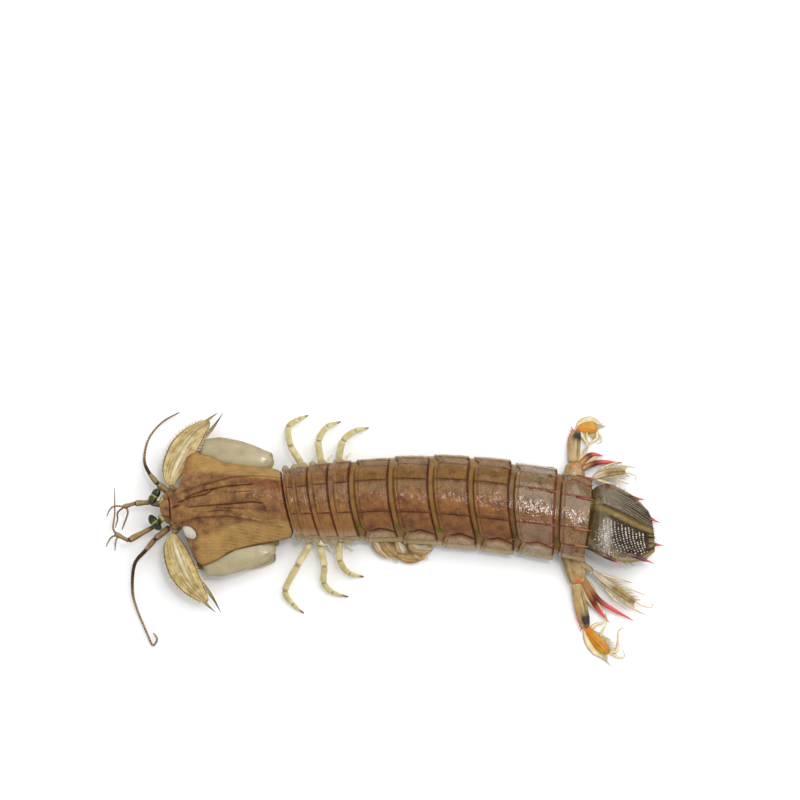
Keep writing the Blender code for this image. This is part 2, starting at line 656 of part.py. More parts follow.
def flat_limb(points, halves, thicks, sides=12, per_span=2, floor=True, shape=0.8):
    """Limb with a broad, rounded section that lies flat; halves go across and thicks up."""
    path = smooth(points, per_span)
    halves, thicks = spread(halves, len(path)), spread(thicks, len(path))
    rings = []
    for p, d, half, thick in zip(path, directions(path), halves, thicks):
        side = d.cross(Vector((0, 0, 1))).normalized()
        lift = side.cross(d).normalized()
        ring = []
        for i in range(sides):
            a = 2 * math.pi * (i + 0.5) / sides
            c, s = math.cos(a), math.sin(a)
            q = p + side * (half * math.copysign(abs(c) ** shape, c)) + lift * (thick * math.copysign(abs(s) ** shape, s))
            ring.append(Vector((q.x, q.y, max(q.z, 0.0))) if floor else q)
        rings.append(ring)
    return loft(rings)


def claws(arm_mat, palm_mat):
    for side, label in ((LEFT, "L"), (RIGHT, "R")):
        claw = CLAW[side]
        hip = Vector(claw["hip"])
        arm = [Vector(p) for p in claw["arm"]]
        pieces = [flat_limb(arm, ARM_HALF, ARM_THICK)]
        pieces.append(tube((Vector((hip.x, hip.y, 5.6)), Vector((hip.x, hip.y, 4.4)), arm[0].lerp(arm[1], 0.35)),
                           (1.7, 1.6, 1.1), 8, 1.0, 2, start=(0, 0, -1)))
        node(f"claw_arm_{label}", arm_mat, pieces)
        knee = Vector(claw["knee"])
        palm_end = Vector((*claw["palm_end"], PALM_HEIGHT))
        back = (palm_end - knee)
        back.z = 0
        back.normalize()
        out = Vector((back.y, -back.x, 0)) * (1 if side == LEFT else -1)
        wrist_low = knee - back * 2.3 + Vector((0, 0, -2.4))
        node(f"claw_wrist_{label}", arm_mat,
             [tube((knee - back * 0.35 + Vector((0, 0, 1.0)), knee - back * 2.0, wrist_low - Vector((0, 0, 0.2))),
                   (1.5, 1.9, 1.3), 10, 1.0, 3, start=-back)])
        start = wrist_low + back * 1.95
        start.z = PALM_HEIGHT
        palm = [start, start.lerp(palm_end, 0.2) + out * 0.5, start.lerp(palm_end, 0.5) + out * 0.9,
                start.lerp(palm_end, 0.8) + out * 0.7, palm_end]
        pieces = [flat_limb(palm, (1.1, 2.3, 2.7, 2.6, 2.0), (1.2, 1.55, 1.6, 1.55, 1.3), 10, shape=0.6)]
        for k in range(5):
            t = 0.2 + 0.14 * k
            p = start.lerp(palm_end, t) + out * (0.9 * math.sin(math.pi * t)) - out * 1.9
            pieces.append(spine(p + Vector((0, 0, 0.2)), p - out * 0.95 + Vector((0, 0, 0.25)), 0.3, 4))
        node(f"claw_palm_{label}", palm_mat, pieces)
        hinge = palm_end - out * 1.4 + back * 0.3
        tip = start - out * 3.4 + back * 1.6
        finger = [hinge + back * 1.0 - out * 1.6, hinge - out * 2.9 - back * 1.0, hinge.lerp(tip, 0.35) - out * 3.1,
                  hinge.lerp(tip, 0.7) - out * 2.7, tip - out * 0.7]
        finger = [Vector((p.x, p.y, 1.3)) for p in finger]
        pieces = [tube(finger, (0.9, 1.05, 0.85, 0.7, 0.2), 7, 1.0, 2)]
        curve = smooth(finger, 6)
        for k in range(5):
            t = 0.26 + 0.15 * k
            p = curve[int(t * (len(curve) - 1))]
            length = 2.0 - 0.22 * k
            pieces.append(spine(p - out * 0.1, p + out * length - back * 0.5 * length, 0.42, 5))
        node(f"claw_finger_{label}", palm_mat, pieces)


MAXILLIPEDS = {"maxilliped_3": (-41.5, 5.6, -50.2, 5.9, 2.3), "maxilliped_4": (-45.2, 2.7, -56.0, 2.0, 1.6)}


def maxillipeds(mat):
    for name, (x, across, reach, inner, height) in MAXILLIPEDS.items():
        for side, label in ((LEFT, "L"), (RIGHT, "R")):
            root = on_body(x, side * across, 5.4)
            knee = on_body(x - 4.6, side * (across + 0.9), 4.0)
            wrist = on_body(reach + 1.4, side * (inner + 0.3), height + 0.5)
            palm = on_body(reach - 1.6, side * inner, height)
            pieces = [tube((on_body(x + 0.6, side * across, 4.2), knee, wrist), (0.9, 0.8, 0.65), 6, 1.0, 3)]
            pieces.append(tube((root, on_body(x, side * across, 4.0)), (1.25, 1.0), 7, 1.0, 1, start=(0, 0, -1)))
            pieces.append(flat_limb((wrist + Vector((0.5, 0, 0.1)), wrist.lerp(palm, 0.5), palm, palm + (palm - wrist) * 0.5),
                                    (0.6, 1.3, 1.25, 0.5), (0.6, 1.15, 1.1, 0.5), 8, 1))
            hook = palm + (palm - wrist) * 0.35
            pieces.append(tube((hook, hook + Vector((-0.8, side * -0.2, -0.7)), hook + Vector((0.4, side * -0.3, -1.15))),
                               (0.4, 0.35, 0.14), 4, 1.0, 1))
            node(f"{name}_{label}", mat, pieces)


# Walking legs and swimmerets

LEGS = {
    ("leg_1", LEFT): ((-24.0, -6.3), ((-23.6, -0.9, 4.1), (-27.2, -8.1, 5.2), (-31.0, -15.6, 3.2),
                                      (-28.8, -19.6, 1.5), (-25.3, -22.5, 0.5))),
    ("leg_2", LEFT): ((-18.6, -6.6), ((-20.0, -2.0, 4.1), (-19.0, -8.4, 5.0), (-19.2, -13.1, 2.8),
                                      (-16.6, -16.0, 1.3), (-11.5, -17.4, 0.5))),
    ("leg_3", LEFT): ((-13.0, -6.9), ((-14.2, -0.6, 4.1), (-14.2, -6.6, 4.9), (-11.4, -10.2, 2.2),
                                      (-6.8, -11.2, 0.5))),
    ("leg_1", RIGHT): ((-24.4, 6.3), ((-26.4, 23.2, 4.1), (-29.6, 29.0, 5.2), (-30.6, 35.4, 2.8),
                                      (-27.6, 38.2, 1.2), (-24.4, 39.6, 0.5))),
    ("leg_2", RIGHT): ((-18.9, 6.6), ((-20.4, 24.4, 4.1), (-21.0, 30.6, 5.0), (-18.6, 35.6, 2.4),
                                      (-14.2, 37.6, 0.5))),
    ("leg_3", RIGHT): ((-13.2, 6.9), ((-14.6, 25.2, 4.1), (-13.4, 30.8, 4.6), (-9.8, 34.4, 2.0),
                                      (-5.4, 35.6, 0.5))),
}


def legs(mat):
    for (name, side), ((x, across), path) in LEGS.items():
        label = "L" if side == LEFT else "R"
        root = on_body(x, across, 5.45)
        start = on_body(x, across, 4.2)
        pieces = [tube((start - Vector((0, side * 0.8, 0)), *path), (1.0, 1.0, 0.95, 0.85, 0.7, 0.35), 6, 1.0, 2)]
        pieces.append(tube((root, start), (1.7, 1.3), 8, 1.0, 1, start=(0, 0, -1)))
        twig = Vector(path[0]).lerp(start, 0.35)
        pieces.append(tube((twig, twig + Vector((2.0, side * 2.6, -1.4)), twig + Vector((3.6, side * 4.6, -2.9))),
                           (0.5, 0.5, 0.3), 4, 1.0, 1))
        node(f"{name}_{label}", mat, pieces)


# Where the two left swimmerets spread out past the edge of the back: tips of their outer leaves.
SPREAD = {("pleopod_1", LEFT): (4.6, -5.9, 1.3), ("pleopod_2", LEFT): (11.4, -6.0, 1.3)}


def pleopods(mat):
    for k, sizes in enumerate(ABDOMEN.values()):
        x0, x1, half, top, edge, belly = sizes
        x = lerp(x0, x1, 0.34)
        for side, label in ((LEFT, "L"), (RIGHT, "R")):
            name = f"pleopod_{k + 1}"
            across = 6.4
            root = on_body(x, side * across, belly - GAP - 0.35)
            foot = on_body(x + 0.6, side * (across + 0.8), 3.2)
            pieces = [tube((root, root.lerp(foot, 0.55), foot), (1.9, 1.6, 1.3), 8, 1.0, 1, start=(0, 0, -1))]
            outer_tip = Vector(SPREAD.get((name, side), on_body(x + 8.6, side * (across + 3.2), 1.3)))
            middle = foot.lerp(outer_tip, 0.5) + Vector((0.6, 0, 0))
            middle.z = 1.7
            pieces.append(blade((foot + Vector((-0.6, 0, -0.5)), foot.lerp(middle, 0.6) - Vector((0, 0, 0.5)),
                                 middle.lerp(outer_tip, 0.4), outer_tip), (1.0, 2.7, 2.5, 1.1), 0.75,
                                per_span=1, ribs=1, rise=1.2))
            inner_tip = on_body(x + 8.4, side * (across - 3.4), 1.1)
            middle = foot.lerp(inner_tip, 0.5)
            middle.z = 2.0
            pieces.append(blade((foot + Vector((-0.5, 0, -0.2)), foot.lerp(middle, 0.6), middle.lerp(inner_tip, 0.4),
                                 inner_tip), (0.9, 2.1, 2.0, 0.9), 0.7, per_span=1, ribs=1, rise=1.2))
            for f in range(4):
                angle = math.radians(-60 + 30 * f)
                start = root.lerp(foot, 0.30 + 0.2 * f)
                reach = 3.1 + 0.3 * (f % 2)
                tip = start + Vector((math.sin(angle) * reach, -side * math.cos(angle) * reach * 0.9 + side * 0.2,
                                      0.5 - 0.1 * f))
                pieces.append(tube((start, tip), (0.45, 0.22), 4, 1.0, 1))
            node(f"{name}_{label}", mat, pieces)


# Tail fan


def telson_frame():
    turn = (Matrix.Rotation(math.radians(TELSON_YAW), 3, "Z") @ Matrix.Rotation(math.radians(TELSON_PITCH), 3, "Y")
            @ Matrix.Rotation(math.radians(-TELSON_ROLL), 3, "X"))
    origin = Vector(TELSON_FRONT)
    return lambda u, v, w: origin + turn @ Vector((u - TELSON_SKEW * v * (max(u, 0.0) / 20.0) ** 0.5, v, w))


def telson(mat):
    at = telson_frame()
    shares = (-1.0, -0.9, -0.78, -0.62, -0.42, -0.38, -0.34, -0.2, -0.06, 0.0)
    shares = shares + tuple(-s for s in reversed(shares[:-1]))
    rings = []
    for u, half in TELSON_HALF:
        t = u / TELSON_HALF[-1][0]
        height = TELSON_CREST * (1 - 0.62 * t**1.3)
        ring = []
        for s in shares:
            w = 0.35 + height * (1 - abs(s) ** 1.25)
            if s == 0.0:
                w += 0.7 * math.sin(math.pi * min(t * 1.05 + 0.06, 1.0)) ** 0.5
            if abs(s) == 0.38:
                w += 0.45 * t
            ring.append(at(u, half * s, w))
        for s in (0.96, 0.6, 0.0, -0.6, -0.96):
            ring.append(at(u, half * s, -0.55 - 1.3 * (1 - s * s) * (1 - 0.4 * t)))
        rings.append(ring)
    pieces = [loft(rings)]
    for name, (u0, v0, u1, v1, r) in TEETH.items():
        for side in (LEFT, RIGHT):
            lift = 0.4 if name == "submedian" else 0.1
            pieces.append(tube((at(u0, side * v0, lift), at(lerp(u0, u1, 0.5), side * lerp(v0, v1, 0.4), lift * 0.5 + 0.1),
                                at(u1, side * v1, 0.0)), (r, r * 0.85, 0.12), 6, 1.0, 1))
    for side in (LEFT, RIGHT):
        for k in range(2):
            pieces.append(spine(at(18.8, side * (0.9 + 1.5 * k), -0.3), at(21.6, side * (0.8 + 1.35 * k), -0.3), 0.55))
        for k in range(4):
            v = 5.4 + 1.1 * k
            u = 19.4 - 0.5 * k
            pieces.append(spine(at(u - 2.6, side * (v - 0.1), -0.35), at(u + 1.0 - 0.25 * k, side * v, -0.35), 0.5))
        pieces.append(spine(at(10.6, side * 10.6, -0.3), at(13.2, side * 12.4, -0.3), 0.5))
    node("telson", mat, pieces)


# Uropods: points measured on each side. The fork's long and short spines grow from the base.
UROPOD = {
    LEFT: {
        "base": ((57.0, 0.8, 2.9), (57.6, -4.8, 2.8), (58.9, -11.8, 2.4)),
        "long": ((60.4, -11.0, 2.0), (65.9, -18.5, 1.7), (76.6, -24.9, 0.9)),
        "short": ((61.6, -13.2, 2.0), (64.6, -20.0, 1.5), (69.0, -25.4, 0.9)),
        "outer": ((58.9, -14.4, 2.1), (59.6, -18.6, 1.8), (60.7, -23.0, 1.35), (61.5, -26.5, 0.95)),
        "paddle": ((62.0, -27.6, 0.6), (64.0, -29.9, 0.36), (66.2, -32.3, 0.36), (68.6, -34.8, 0.36)),
        "long_fringe": -1,
        "inner": ((63.7, -9.6, 3.6), (67.6, -12.8, 3.4), (72.0, -16.0, 3.0), (76.8, -19.3, 2.4)),
    },
    RIGHT: {
        "base": ((59.2, 12.6, 2.0), (58.9, 17.2, 1.9), (58.9, 22.8, 1.8)),
        "long": ((60.4, 22.4, 1.8), (66.0, 24.4, 1.5), (73.9, 24.4, 0.9)),
        "short": ((60.4, 23.6, 1.8), (64.0, 26.8, 1.4), (68.2, 26.6, 0.9)),
        "outer": ((58.6, 25.3, 1.9), (58.8, 28.6, 1.65), (59.0, 31.6, 1.3), (59.5, 34.4, 0.95)),
        "paddle": ((60.9, 35.3, 0.6), (62.4, 35.7, 0.36), (64.2, 35.6, 0.36), (66.4, 34.7, 0.36)),
        "long_fringe": -1,
        "inner": ((64.3, 18.9, 3.0), (66.4, 20.2, 3.3), (70.4, 21.2, 3.3), (74.6, 21.4, 3.1)),
    },
}


def fringe(path, halves, start, stop, count, side_sign, length, tip_turn=0.7):
    """Flat locks of setae along one edge of a leaf."""
    curve = smooth(path, 5)
    widths = spread(halves, len(curve))
    heading = directions(curve)
    found = []
    for k in range(count):
        t = lerp(start, stop, k / max(count - 1, 1))
        i = int(round(t * (len(curve) - 1)))
        d = heading[i]
        out = Vector((d.y, -d.x, 0)).normalized() * side_sign
        root = curve[i] + out * (widths[i] * 0.55) + Vector((0, 0, 0.05 if k % 2 else -0.05))
        reach = length * (0.85 + 0.15 * (k % 3))
        tip = curve[i] + out * (widths[i] + reach * (1 - 0.5 * tip_turn)) + d * (reach * tip_turn)
        tip.z = max(tip.z - 0.4, 0.45)
        found.append(lock(root, tip, 1.15, 0.55))
    return found


def uropods(base_mat, blade_mat):
    for side, label in ((LEFT, "L"), (RIGHT, "R")):
        p = UROPOD[side]
        sign = 1 if side == LEFT else -1
        pieces = [flat_limb(p["base"], (3.8, 3.7, 2.3), (1.65, 1.7, 1.4), 10, 2, shape=0.75)]
        pieces.append(tube(p["long"], (1.35, 1.1, 0.15), 6, 0.8, 2))
        pieces.append(tube(p["short"], (1.1, 0.9, 0.15), 6, 0.8, 2))
        node(f"uropod_{label}", base_mat, pieces)
        outer = p["outer"]
        pieces = [flat_limb(outer, (1.5, 1.9, 2.0, 1.3), (0.95, 0.95, 0.85, 0.7), 8, 2, shape=0.8)]
        curve = smooth(outer, 4)
        for k in range(7):
            i = int((0.22 + 0.125 * k) * (len(curve) - 1))
            d = directions(curve)[i]
            out = Vector((d.y, -d.x, 0)).normalized() * sign
            root = curve[i] + out * 1.0
            tip = curve[i] + out * (2.45 + 0.1 * k) + d * (1.2 + 0.16 * k)
            pieces.append(spine(root, tip, 0.38, 5))
        node(f"exopod_{label}", base_mat, pieces)
        paddle_half = (0.9, 2.2, 2.5, 1.7)
        pieces = [blade(p["paddle"], paddle_half, 0.9, ribs=1, rise=1.3)]
        pieces += fringe(p["paddle"], paddle_half, 0.35, 1.0, 5, p["long_fringe"], 4.2, 0.8)
        pieces += fringe(p["paddle"], paddle_half, 0.55, 1.0, 3, -p["long_fringe"], 2.8, 1.1)
        node(f"exopod_blade_{label}", blade_mat, pieces)
        inner_half = (0.8, 1.5, 1.6, 1.0)
        pieces = [blade(p["inner"], inner_half, 0.95, ribs=1, rise=1.4)]
        pieces += fringe(p["inner"], inner_half, 0.45, 1.0, 4, sign, 3.0, 1.0)
        pieces += fringe(p["inner"], inner_half, 0.45, 1.0, 4, -sign, 3.0, 1.0)
        node(f"endopod_{label}", blade_mat, pieces)


def centre_on_floor():
    """Moves the whole animal so that its box is centred over the origin and stands on z = 0."""
    found = [v.co.copy() for obj in bpy.data.objects if obj.type == "MESH" for v in obj.data.vertices]
    low = Vector([min(v[i] for v in found) for i in range(3)])
    high = Vector([max(v[i] for v in found) for i in range(3)])
    shift = Matrix.Translation(Vector((-(low.x + high.x) / 2, -(low.y + high.y) / 2, -low.z)))
    for obj in bpy.data.objects:
        if obj.type == "MESH":
            obj.data.transform(shift)
            obj.data.update()


def main():
    clear_scene()
    shell = material("shell", SHELL, 0.35)
    dark = material("dark_shell", DARK_SHELL, 0.35)
    pale = material("pale_limb", PALE, 0.4)
    khaki = material("claw_shell", KHAKI, 0.35)
    yellow = material("scale_leaf", YELLOW, 0.4)
    eye = material("eye", EYE, 0.15)
    cream = material("fan", CREAM, 0.4)
    carapace(shell)
    rostral_plate(shell)
    head(shell)
    eyes(pale, eye)
    antennules(dark)
    antennae(dark, yellow)
    claws(khaki, khaki)
    maxillipeds(pale)
    thorax(dark)
    legs(pale)
    abdomen(shell)
    pleopods(yellow)
    telson(dark)
    uropods(cream, cream)
    centre_on_floor()


main()
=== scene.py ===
# %% [markdown]
# # A mantis shrimp, life size
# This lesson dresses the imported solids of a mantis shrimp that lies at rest. The animal is made
# of hard plates and jointed limbs, so every plate, limb, feeler and spine becomes a fine mesh of
# its own that stands for one plain solid. Sizes are in millimetres along the animal's own body
# line and become metres when a piece is set down.

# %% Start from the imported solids
import math
import random

import bpy
import numpy as np
from mathutils import Matrix, Vector


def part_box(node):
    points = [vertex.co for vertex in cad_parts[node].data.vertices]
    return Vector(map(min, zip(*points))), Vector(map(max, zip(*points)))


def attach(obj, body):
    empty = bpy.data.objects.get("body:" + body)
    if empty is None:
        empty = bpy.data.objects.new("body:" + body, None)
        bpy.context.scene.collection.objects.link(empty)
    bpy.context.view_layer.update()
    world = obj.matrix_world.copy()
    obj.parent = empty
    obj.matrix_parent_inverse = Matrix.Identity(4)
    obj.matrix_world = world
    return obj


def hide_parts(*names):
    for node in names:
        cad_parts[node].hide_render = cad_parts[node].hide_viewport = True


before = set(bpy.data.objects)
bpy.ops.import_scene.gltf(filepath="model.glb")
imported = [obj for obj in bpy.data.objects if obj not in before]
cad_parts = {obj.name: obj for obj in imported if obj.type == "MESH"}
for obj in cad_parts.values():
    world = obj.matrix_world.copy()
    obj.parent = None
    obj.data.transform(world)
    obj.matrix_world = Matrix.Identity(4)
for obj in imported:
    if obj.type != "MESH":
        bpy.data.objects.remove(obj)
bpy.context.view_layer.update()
print("solids:", len(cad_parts))

# %% [markdown]
# ## The body line
# The plates of the back follow one gently bent line. A point of the animal is given by how far
# back it lies, how far across toward the animal's right, and its height. A smooth table turns a
# few measured stations into every value between them, so that neighbouring plates agree. The
# animal lies a little twisted, so its rings stand aslant to the line, the right side ahead, and
# the middle of each ring's edge bows forward. The solids were moved so that their box is centred,
# and the beak plate tells by how much.

# %% Units and the body line
MM = 0.001
LEFT, RIGHT = -1, 1
SIDES = ((LEFT, "L"), (RIGHT, "R"))
UP = np.array((0.0, 0.0, 1.0))
BEAK_LOW_CORNER = np.array((-69.2375, 6.4854, 10.4))
OFFSET = np.array(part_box("rostral_plate")[0]) / MM - BEAK_LOW_CORNER
BODY_LINE = ((-72.0, 8.6, 5.0), (-60.0, 9.2, 6.0), (-46.0, 10.1, 6.0), (-31.0, 10.8, 4.5),
             (-22.0, 11.3, 2.0), (-10.0, 12.0, 0.8), (2.0, 12.5, 0.0), (14.0, 12.3, -0.5),
             (26.5, 11.5, -1.0), (39.0, 10.1, -2.0), (52.0, 8.3, -3.5), (62.6, 6.5, -8.0),
             (90.0, 0.5, -10.0))
SLANT = ((-50.0, 0.0), (-40.0, 3.5), (-30.0, 7.5), (-25.0, 8.0), (-20.0, 8.0), (-12.0, 6.0), (-2.0, 5.5),
         (10.0, 6.0), (22.0, 5.5), (32.0, 4.5), (40.0, 3.0), (48.0, 0.5), (52.0, 0.0))
BOW = ((-40, 0), (-30, 0.8), (-25, 1.2), (-20, 1.5), (42, 1.5), (52, 0.7), (60, 0))
BOW_HALF = 11.5


def eased(rows, x, column=1):
    """Smooth value read from rows of (x, value, ...) at every x of an array."""
    xs = np.array([row[0] for row in rows], float)
    vs = np.array([row[column] for row in rows], float)
    slopes = np.empty(len(xs))
    slopes[1:-1] = (vs[2:] - vs[:-2]) / (xs[2:] - xs[:-2])
    slopes[0] = (vs[1] - vs[0]) / (xs[1] - xs[0])
    slopes[-1] = (vs[-1] - vs[-2]) / (xs[-1] - xs[-2])
    x = np.clip(np.asarray(x, float), xs[0], xs[-1])
    k = np.clip(np.searchsorted(xs, x, side="right") - 1, 0, len(xs) - 2)
    span = xs[k + 1] - xs[k]
    t = (x - xs[k]) / span
    return ((2 * t**3 - 3 * t**2 + 1) * vs[k] + (t**3 - 2 * t**2 + t) * slopes[k] * span
            + (3 * t**2 - 2 * t**3) * vs[k + 1] + (t**3 - t**2) * slopes[k + 1] * span)


def on_body(x, across, z, along=0.0):
    """Points beside the body line, as an array of x, y and z in millimetres."""
    x, across, z, along = np.broadcast_arrays(*(np.asarray(a, float) for a in (x, across, z, along)))
    y, yaw = eased(BODY_LINE, x), np.radians(eased(BODY_LINE, x, 2))
    along = along - across * np.tan(np.radians(eased(SLANT, x)))
    along = along - eased(BOW, x) * (1 - np.clip(across / BOW_HALF, -1, 1) ** 2)
    return np.stack((x + along * np.cos(yaw) - across * np.sin(yaw),
                     y + along * np.sin(yaw) + across * np.cos(yaw), z), axis=-1)


def evenly_spread(values, share):
    """Smooth value at each share of a path, from values that stand evenly along it."""
    return eased([(k / (len(values) - 1), value) for k, value in enumerate(values)], share)


def bell(x, centre, width):
    """One in the middle of a feature, fading to nothing a little past its width."""
    return np.exp(-((x - centre) / width) ** 2)


def ramp(x, start, stop):
    """Nothing before start, one after stop, and a soft step between them."""
    t = np.clip((x - start) / (stop - start), 0.0, 1.0)
    return t * t * (3 - 2 * t)


print("offset of the solids, mm:", OFFSET.round(3).tolist())

# %% [markdown]
# ## A sheet that is rolled up
# A plate or limb of a crustacean is a tube with a special section, which extruding by hand can
# not follow closely enough. So a flat grid of faces is added, each of its points is carried to its
# place on the animal by a rule, and its seam and poles are merged and closed in edit mode. The
# rule also gives four marks for each point: dark line, pale skin, patch of colour, and tip. The
# materials read these marks, so keels and bands stay exactly where the shape has them.

# %% The sheet tool
MERGE_WITHIN = 2e-6


def close_up(piece):
    """Merges the seam and the poles, fills what is open and turns the faces outward."""
    bpy.ops.object.select_all(action="DESELECT")
    piece.select_set(True)
    bpy.context.view_layer.objects.active = piece
    bpy.ops.object.mode_set(mode="EDIT")
    bpy.ops.mesh.select_mode(type="VERT")
    bpy.ops.mesh.select_all(action="SELECT")
    bpy.ops.mesh.remove_doubles(threshold=MERGE_WITHIN)
    bpy.ops.mesh.select_all(action="DESELECT")
    bpy.ops.mesh.select_non_manifold(extend=False, use_wire=False, use_multi_face=False,
                                     use_non_contiguous=False, use_verts=False)
    bpy.ops.mesh.fill_holes(sides=0)
    bpy.ops.mesh.select_all(action="SELECT")
    bpy.ops.mesh.normals_make_consistent(inside=False)
    bpy.ops.object.mode_set(mode="OBJECT")
    bpy.ops.object.shade_smooth()
    return piece


def marks_of(u, dark=0.0, pale=0.0, patch=0.0, tip=0.0):
    """The four marks of each point, side by side."""
    marks = (dark, pale, patch, tip)
    return np.stack([np.clip(np.broadcast_to(mark, u.shape), 0.0, 1.0) for mark in marks], -1)


def evenly(**marks):
    """A paint that gives every point of a limb the same marks."""
    return lambda share, angle, run: marks_of(share, **marks)


def rolled(name, columns, rows, place):
    """A grid of faces carried to its place by place(u, v), which gives points and marks."""
    bpy.ops.object.select_all(action="DESELECT")
    bpy.ops.mesh.primitive_grid_add(x_subdivisions=columns, y_subdivisions=rows, size=1.0)
    piece = bpy.context.object
    piece.name = piece.data.name = name
    flat = np.empty(len(piece.data.vertices) * 3, np.float32)
    piece.data.vertices.foreach_get("co", flat)
    u, v = flat[0::3].astype(float) + 0.5, flat[1::3].astype(float) + 0.5
    points, marks = place(u, v)
    piece.data.vertices.foreach_set("co", ((points + OFFSET) * MM).astype(np.float32).ravel())
    layer = piece.data.color_attributes.new("Marks", "FLOAT_COLOR", "POINT")
    layer.data.foreach_set("color", marks.astype(np.float32).ravel())
    return close_up(piece)


def joined(name, pieces):
    """Several finished meshes as one piece."""
    bpy.ops.object.select_all(action="DESELECT")
    for piece in pieces:
        piece.select_set(True)
    bpy.context.view_layer.objects.active = pieces[0]
    if len(pieces) > 1:
        bpy.ops.object.join()
    pieces[0].name = pieces[0].data.name = name
    return pieces[0]


def clad(piece, finish):
    """Gives one part of a piece its own material."""
    piece.data.materials.append(finish)
    return piece


dressed = []


def dress(piece, material, slot, *nodes):
    """Gives a finished piece its material, hangs it on the root and hides the solids it stands for."""
    if material is not None:
        piece.data.materials.clear()
        piece.data.materials.append(material)
    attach(piece, "root")
    if nodes:
        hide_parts(*nodes)
    dressed.append(piece)
    print(piece.name, len(piece.data.polygons), "faces")
    return piece


# %% [markdown]
# ## Limbs, leaves and lines
# A limb is a tube round a smooth curve through a few measured joints. Its section may be broad
# and flat, it narrows at each joint of the real limb, and it is rounded at both ends. A leaf, as in
# the tail fan, is the same with a thin lens for a section. A line that is drawn on a plate, such
# as a groove, is found by its distance from a measured path.

# %% The limb tool
def flowing(path, t):
    """Points of the smooth curve through a path, at shares t of the path."""
    pts = np.array(path, float)
    if len(pts) == 2:
        return pts[0] + (pts[1] - pts[0]) * t[:, None]
    ends = np.concatenate(([2 * pts[0] - pts[1]], pts, [2 * pts[-1] - pts[-2]]))
    at = np.clip(t, 0, 1) * (len(pts) - 1)
    k = np.clip(at.astype(int), 0, len(pts) - 2)
    f = (at - k)[:, None]
    p0, p1, p2, p3 = ends[k], ends[k + 1], ends[k + 2], ends[k + 3]
    return 0.5 * (2 * p1 + (p2 - p0) * f + (2 * p0 - 5 * p1 + 4 * p2 - p3) * f**2
                  + (3 * p1 - p0 - 3 * p2 + p3) * f**3)


def headings(line, level):
    """Directions along a line, with one direction across it and one that lifts off it."""
    ahead = np.gradient(line, axis=0)
    ahead /= np.linalg.norm(ahead, axis=1, keepdims=True) + 1e-12
    across = np.empty_like(ahead)
    up = UP if level or abs(ahead[0, 2]) < 0.9 else np.array((1.0, 0.0, 0.0))
    last = np.cross(ahead[0], up)
    for k, d in enumerate(ahead):
        side = np.cross(d, up) if level else last - d * last.dot(d)
        last = side / (np.linalg.norm(side) + 1e-12)
        across[k] = last
    return ahead, across, np.cross(across, ahead)


def steps_of(path):
    """Length of each step between the points of a path."""
    return np.linalg.norm(np.diff(np.array(path, float), axis=0), axis=1)


def rounding(run, radius):
    """Share of the full width near an end that is rounded with a radius."""
    return np.sqrt(np.clip(1 - (1 - np.minimum(run / radius, 1.0)) ** 2, 0, 1))


JOINT_NARROWS, JOINT_SWELLS = 0.26, 0.1


def limb(name, path, halves, thicks=None, columns=28, rows=60, shape=1.0, joints=(), level=False,
         ring=0.0, rings=0, blunt=(0.6, 0.6), paint=evenly()):
    """A rounded limb; halves go across and thicks up, and joints are shares along its path."""
    thicks = halves if thicks is None else thicks
    share = np.linspace(0, 1, rows + 1)
    share = share - 0.12 * np.sin(2 * np.pi * share)
    line = flowing(path, share)
    _, across, lift = headings(line, level)
    run = np.concatenate(([0.0], np.cumsum(steps_of(line))))
    half = np.interp(share, np.linspace(0, 1, len(halves)), halves)
    thick = np.interp(share, np.linspace(0, 1, len(thicks)), thicks)
    if rings:
        ripple = 1 + ring * np.sin(2 * np.pi * rings * share)
        half, thick = half * ripple, thick * ripple
    for joint in joints:
        at = np.interp(joint, share, run)
        narrow = 1 - JOINT_NARROWS * bell(run, at, 0.28) + JOINT_SWELLS * bell(run, at - 0.75, 0.5)
        half, thick = half * narrow, thick * narrow
    for end, radius in ((run, blunt[0]), (run[-1] - run, blunt[1])):
        half, thick = half * rounding(end, radius), thick * rounding(end, radius)

    def place(u, v):
        row = np.rint(v * rows).astype(int)
        angle = 2 * np.pi * u
        c, s = np.cos(angle), np.sin(angle)
        out = half[row] * np.sign(c) * np.abs(c) ** shape
        up = thick[row] * np.sign(s) * np.abs(s) ** shape
        points = line[row] + across[row] * out[:, None] + lift[row] * up[:, None]
        points[:, 2] = np.maximum(points[:, 2], 0.0)
        return points, paint(share[row], angle, run[row])

    return rolled(name, columns, rows, place)


def leaf(name, path, halves, thick, columns, rows, paint, blunt, veins=(), vein_height=0.12, wave=0.0):
    """A thin leaf along a curve, lens-shaped across, with raised veins on its upper face."""
    share = np.linspace(0, 1, rows + 1)
    share = share - 0.1 * np.sin(2 * np.pi * share)
    line = flowing(path, share)
    _, across, lift = headings(line, True)
    run = np.concatenate(([0.0], np.cumsum(steps_of(line))))
    half = evenly_spread(halves, share)
    cap = rounding(np.minimum(run, run[-1] - run), blunt)

    def place(u, v):
        row = np.rint(v * rows).astype(int)
        upper = u <= 0.5
        s = -np.cos(2 * np.pi * u)
        height = thick * 0.5 * np.sqrt(np.clip(1 - np.abs(s) ** 2.4, 0, 1)) * cap[row]
        raised = sum(vein_height * bell(s, vein, 0.05) for vein in veins) if len(veins) else 0.0
        height = np.where(upper, height + raised * cap[row] * (1 - np.abs(s) ** 6), -height)
        height = height + wave * np.sin(7 * s + 9 * share[row]) * cap[row]
        points = (line[row] + across[row] * (half[row] * cap[row] * s)[:, None]
                  + lift[row] * height[:, None])
        points[:, 2] = np.maximum(points[:, 2], 0.0)
        return points, paint(share[row], s, run[row])

    return rolled(name, columns, rows, place)


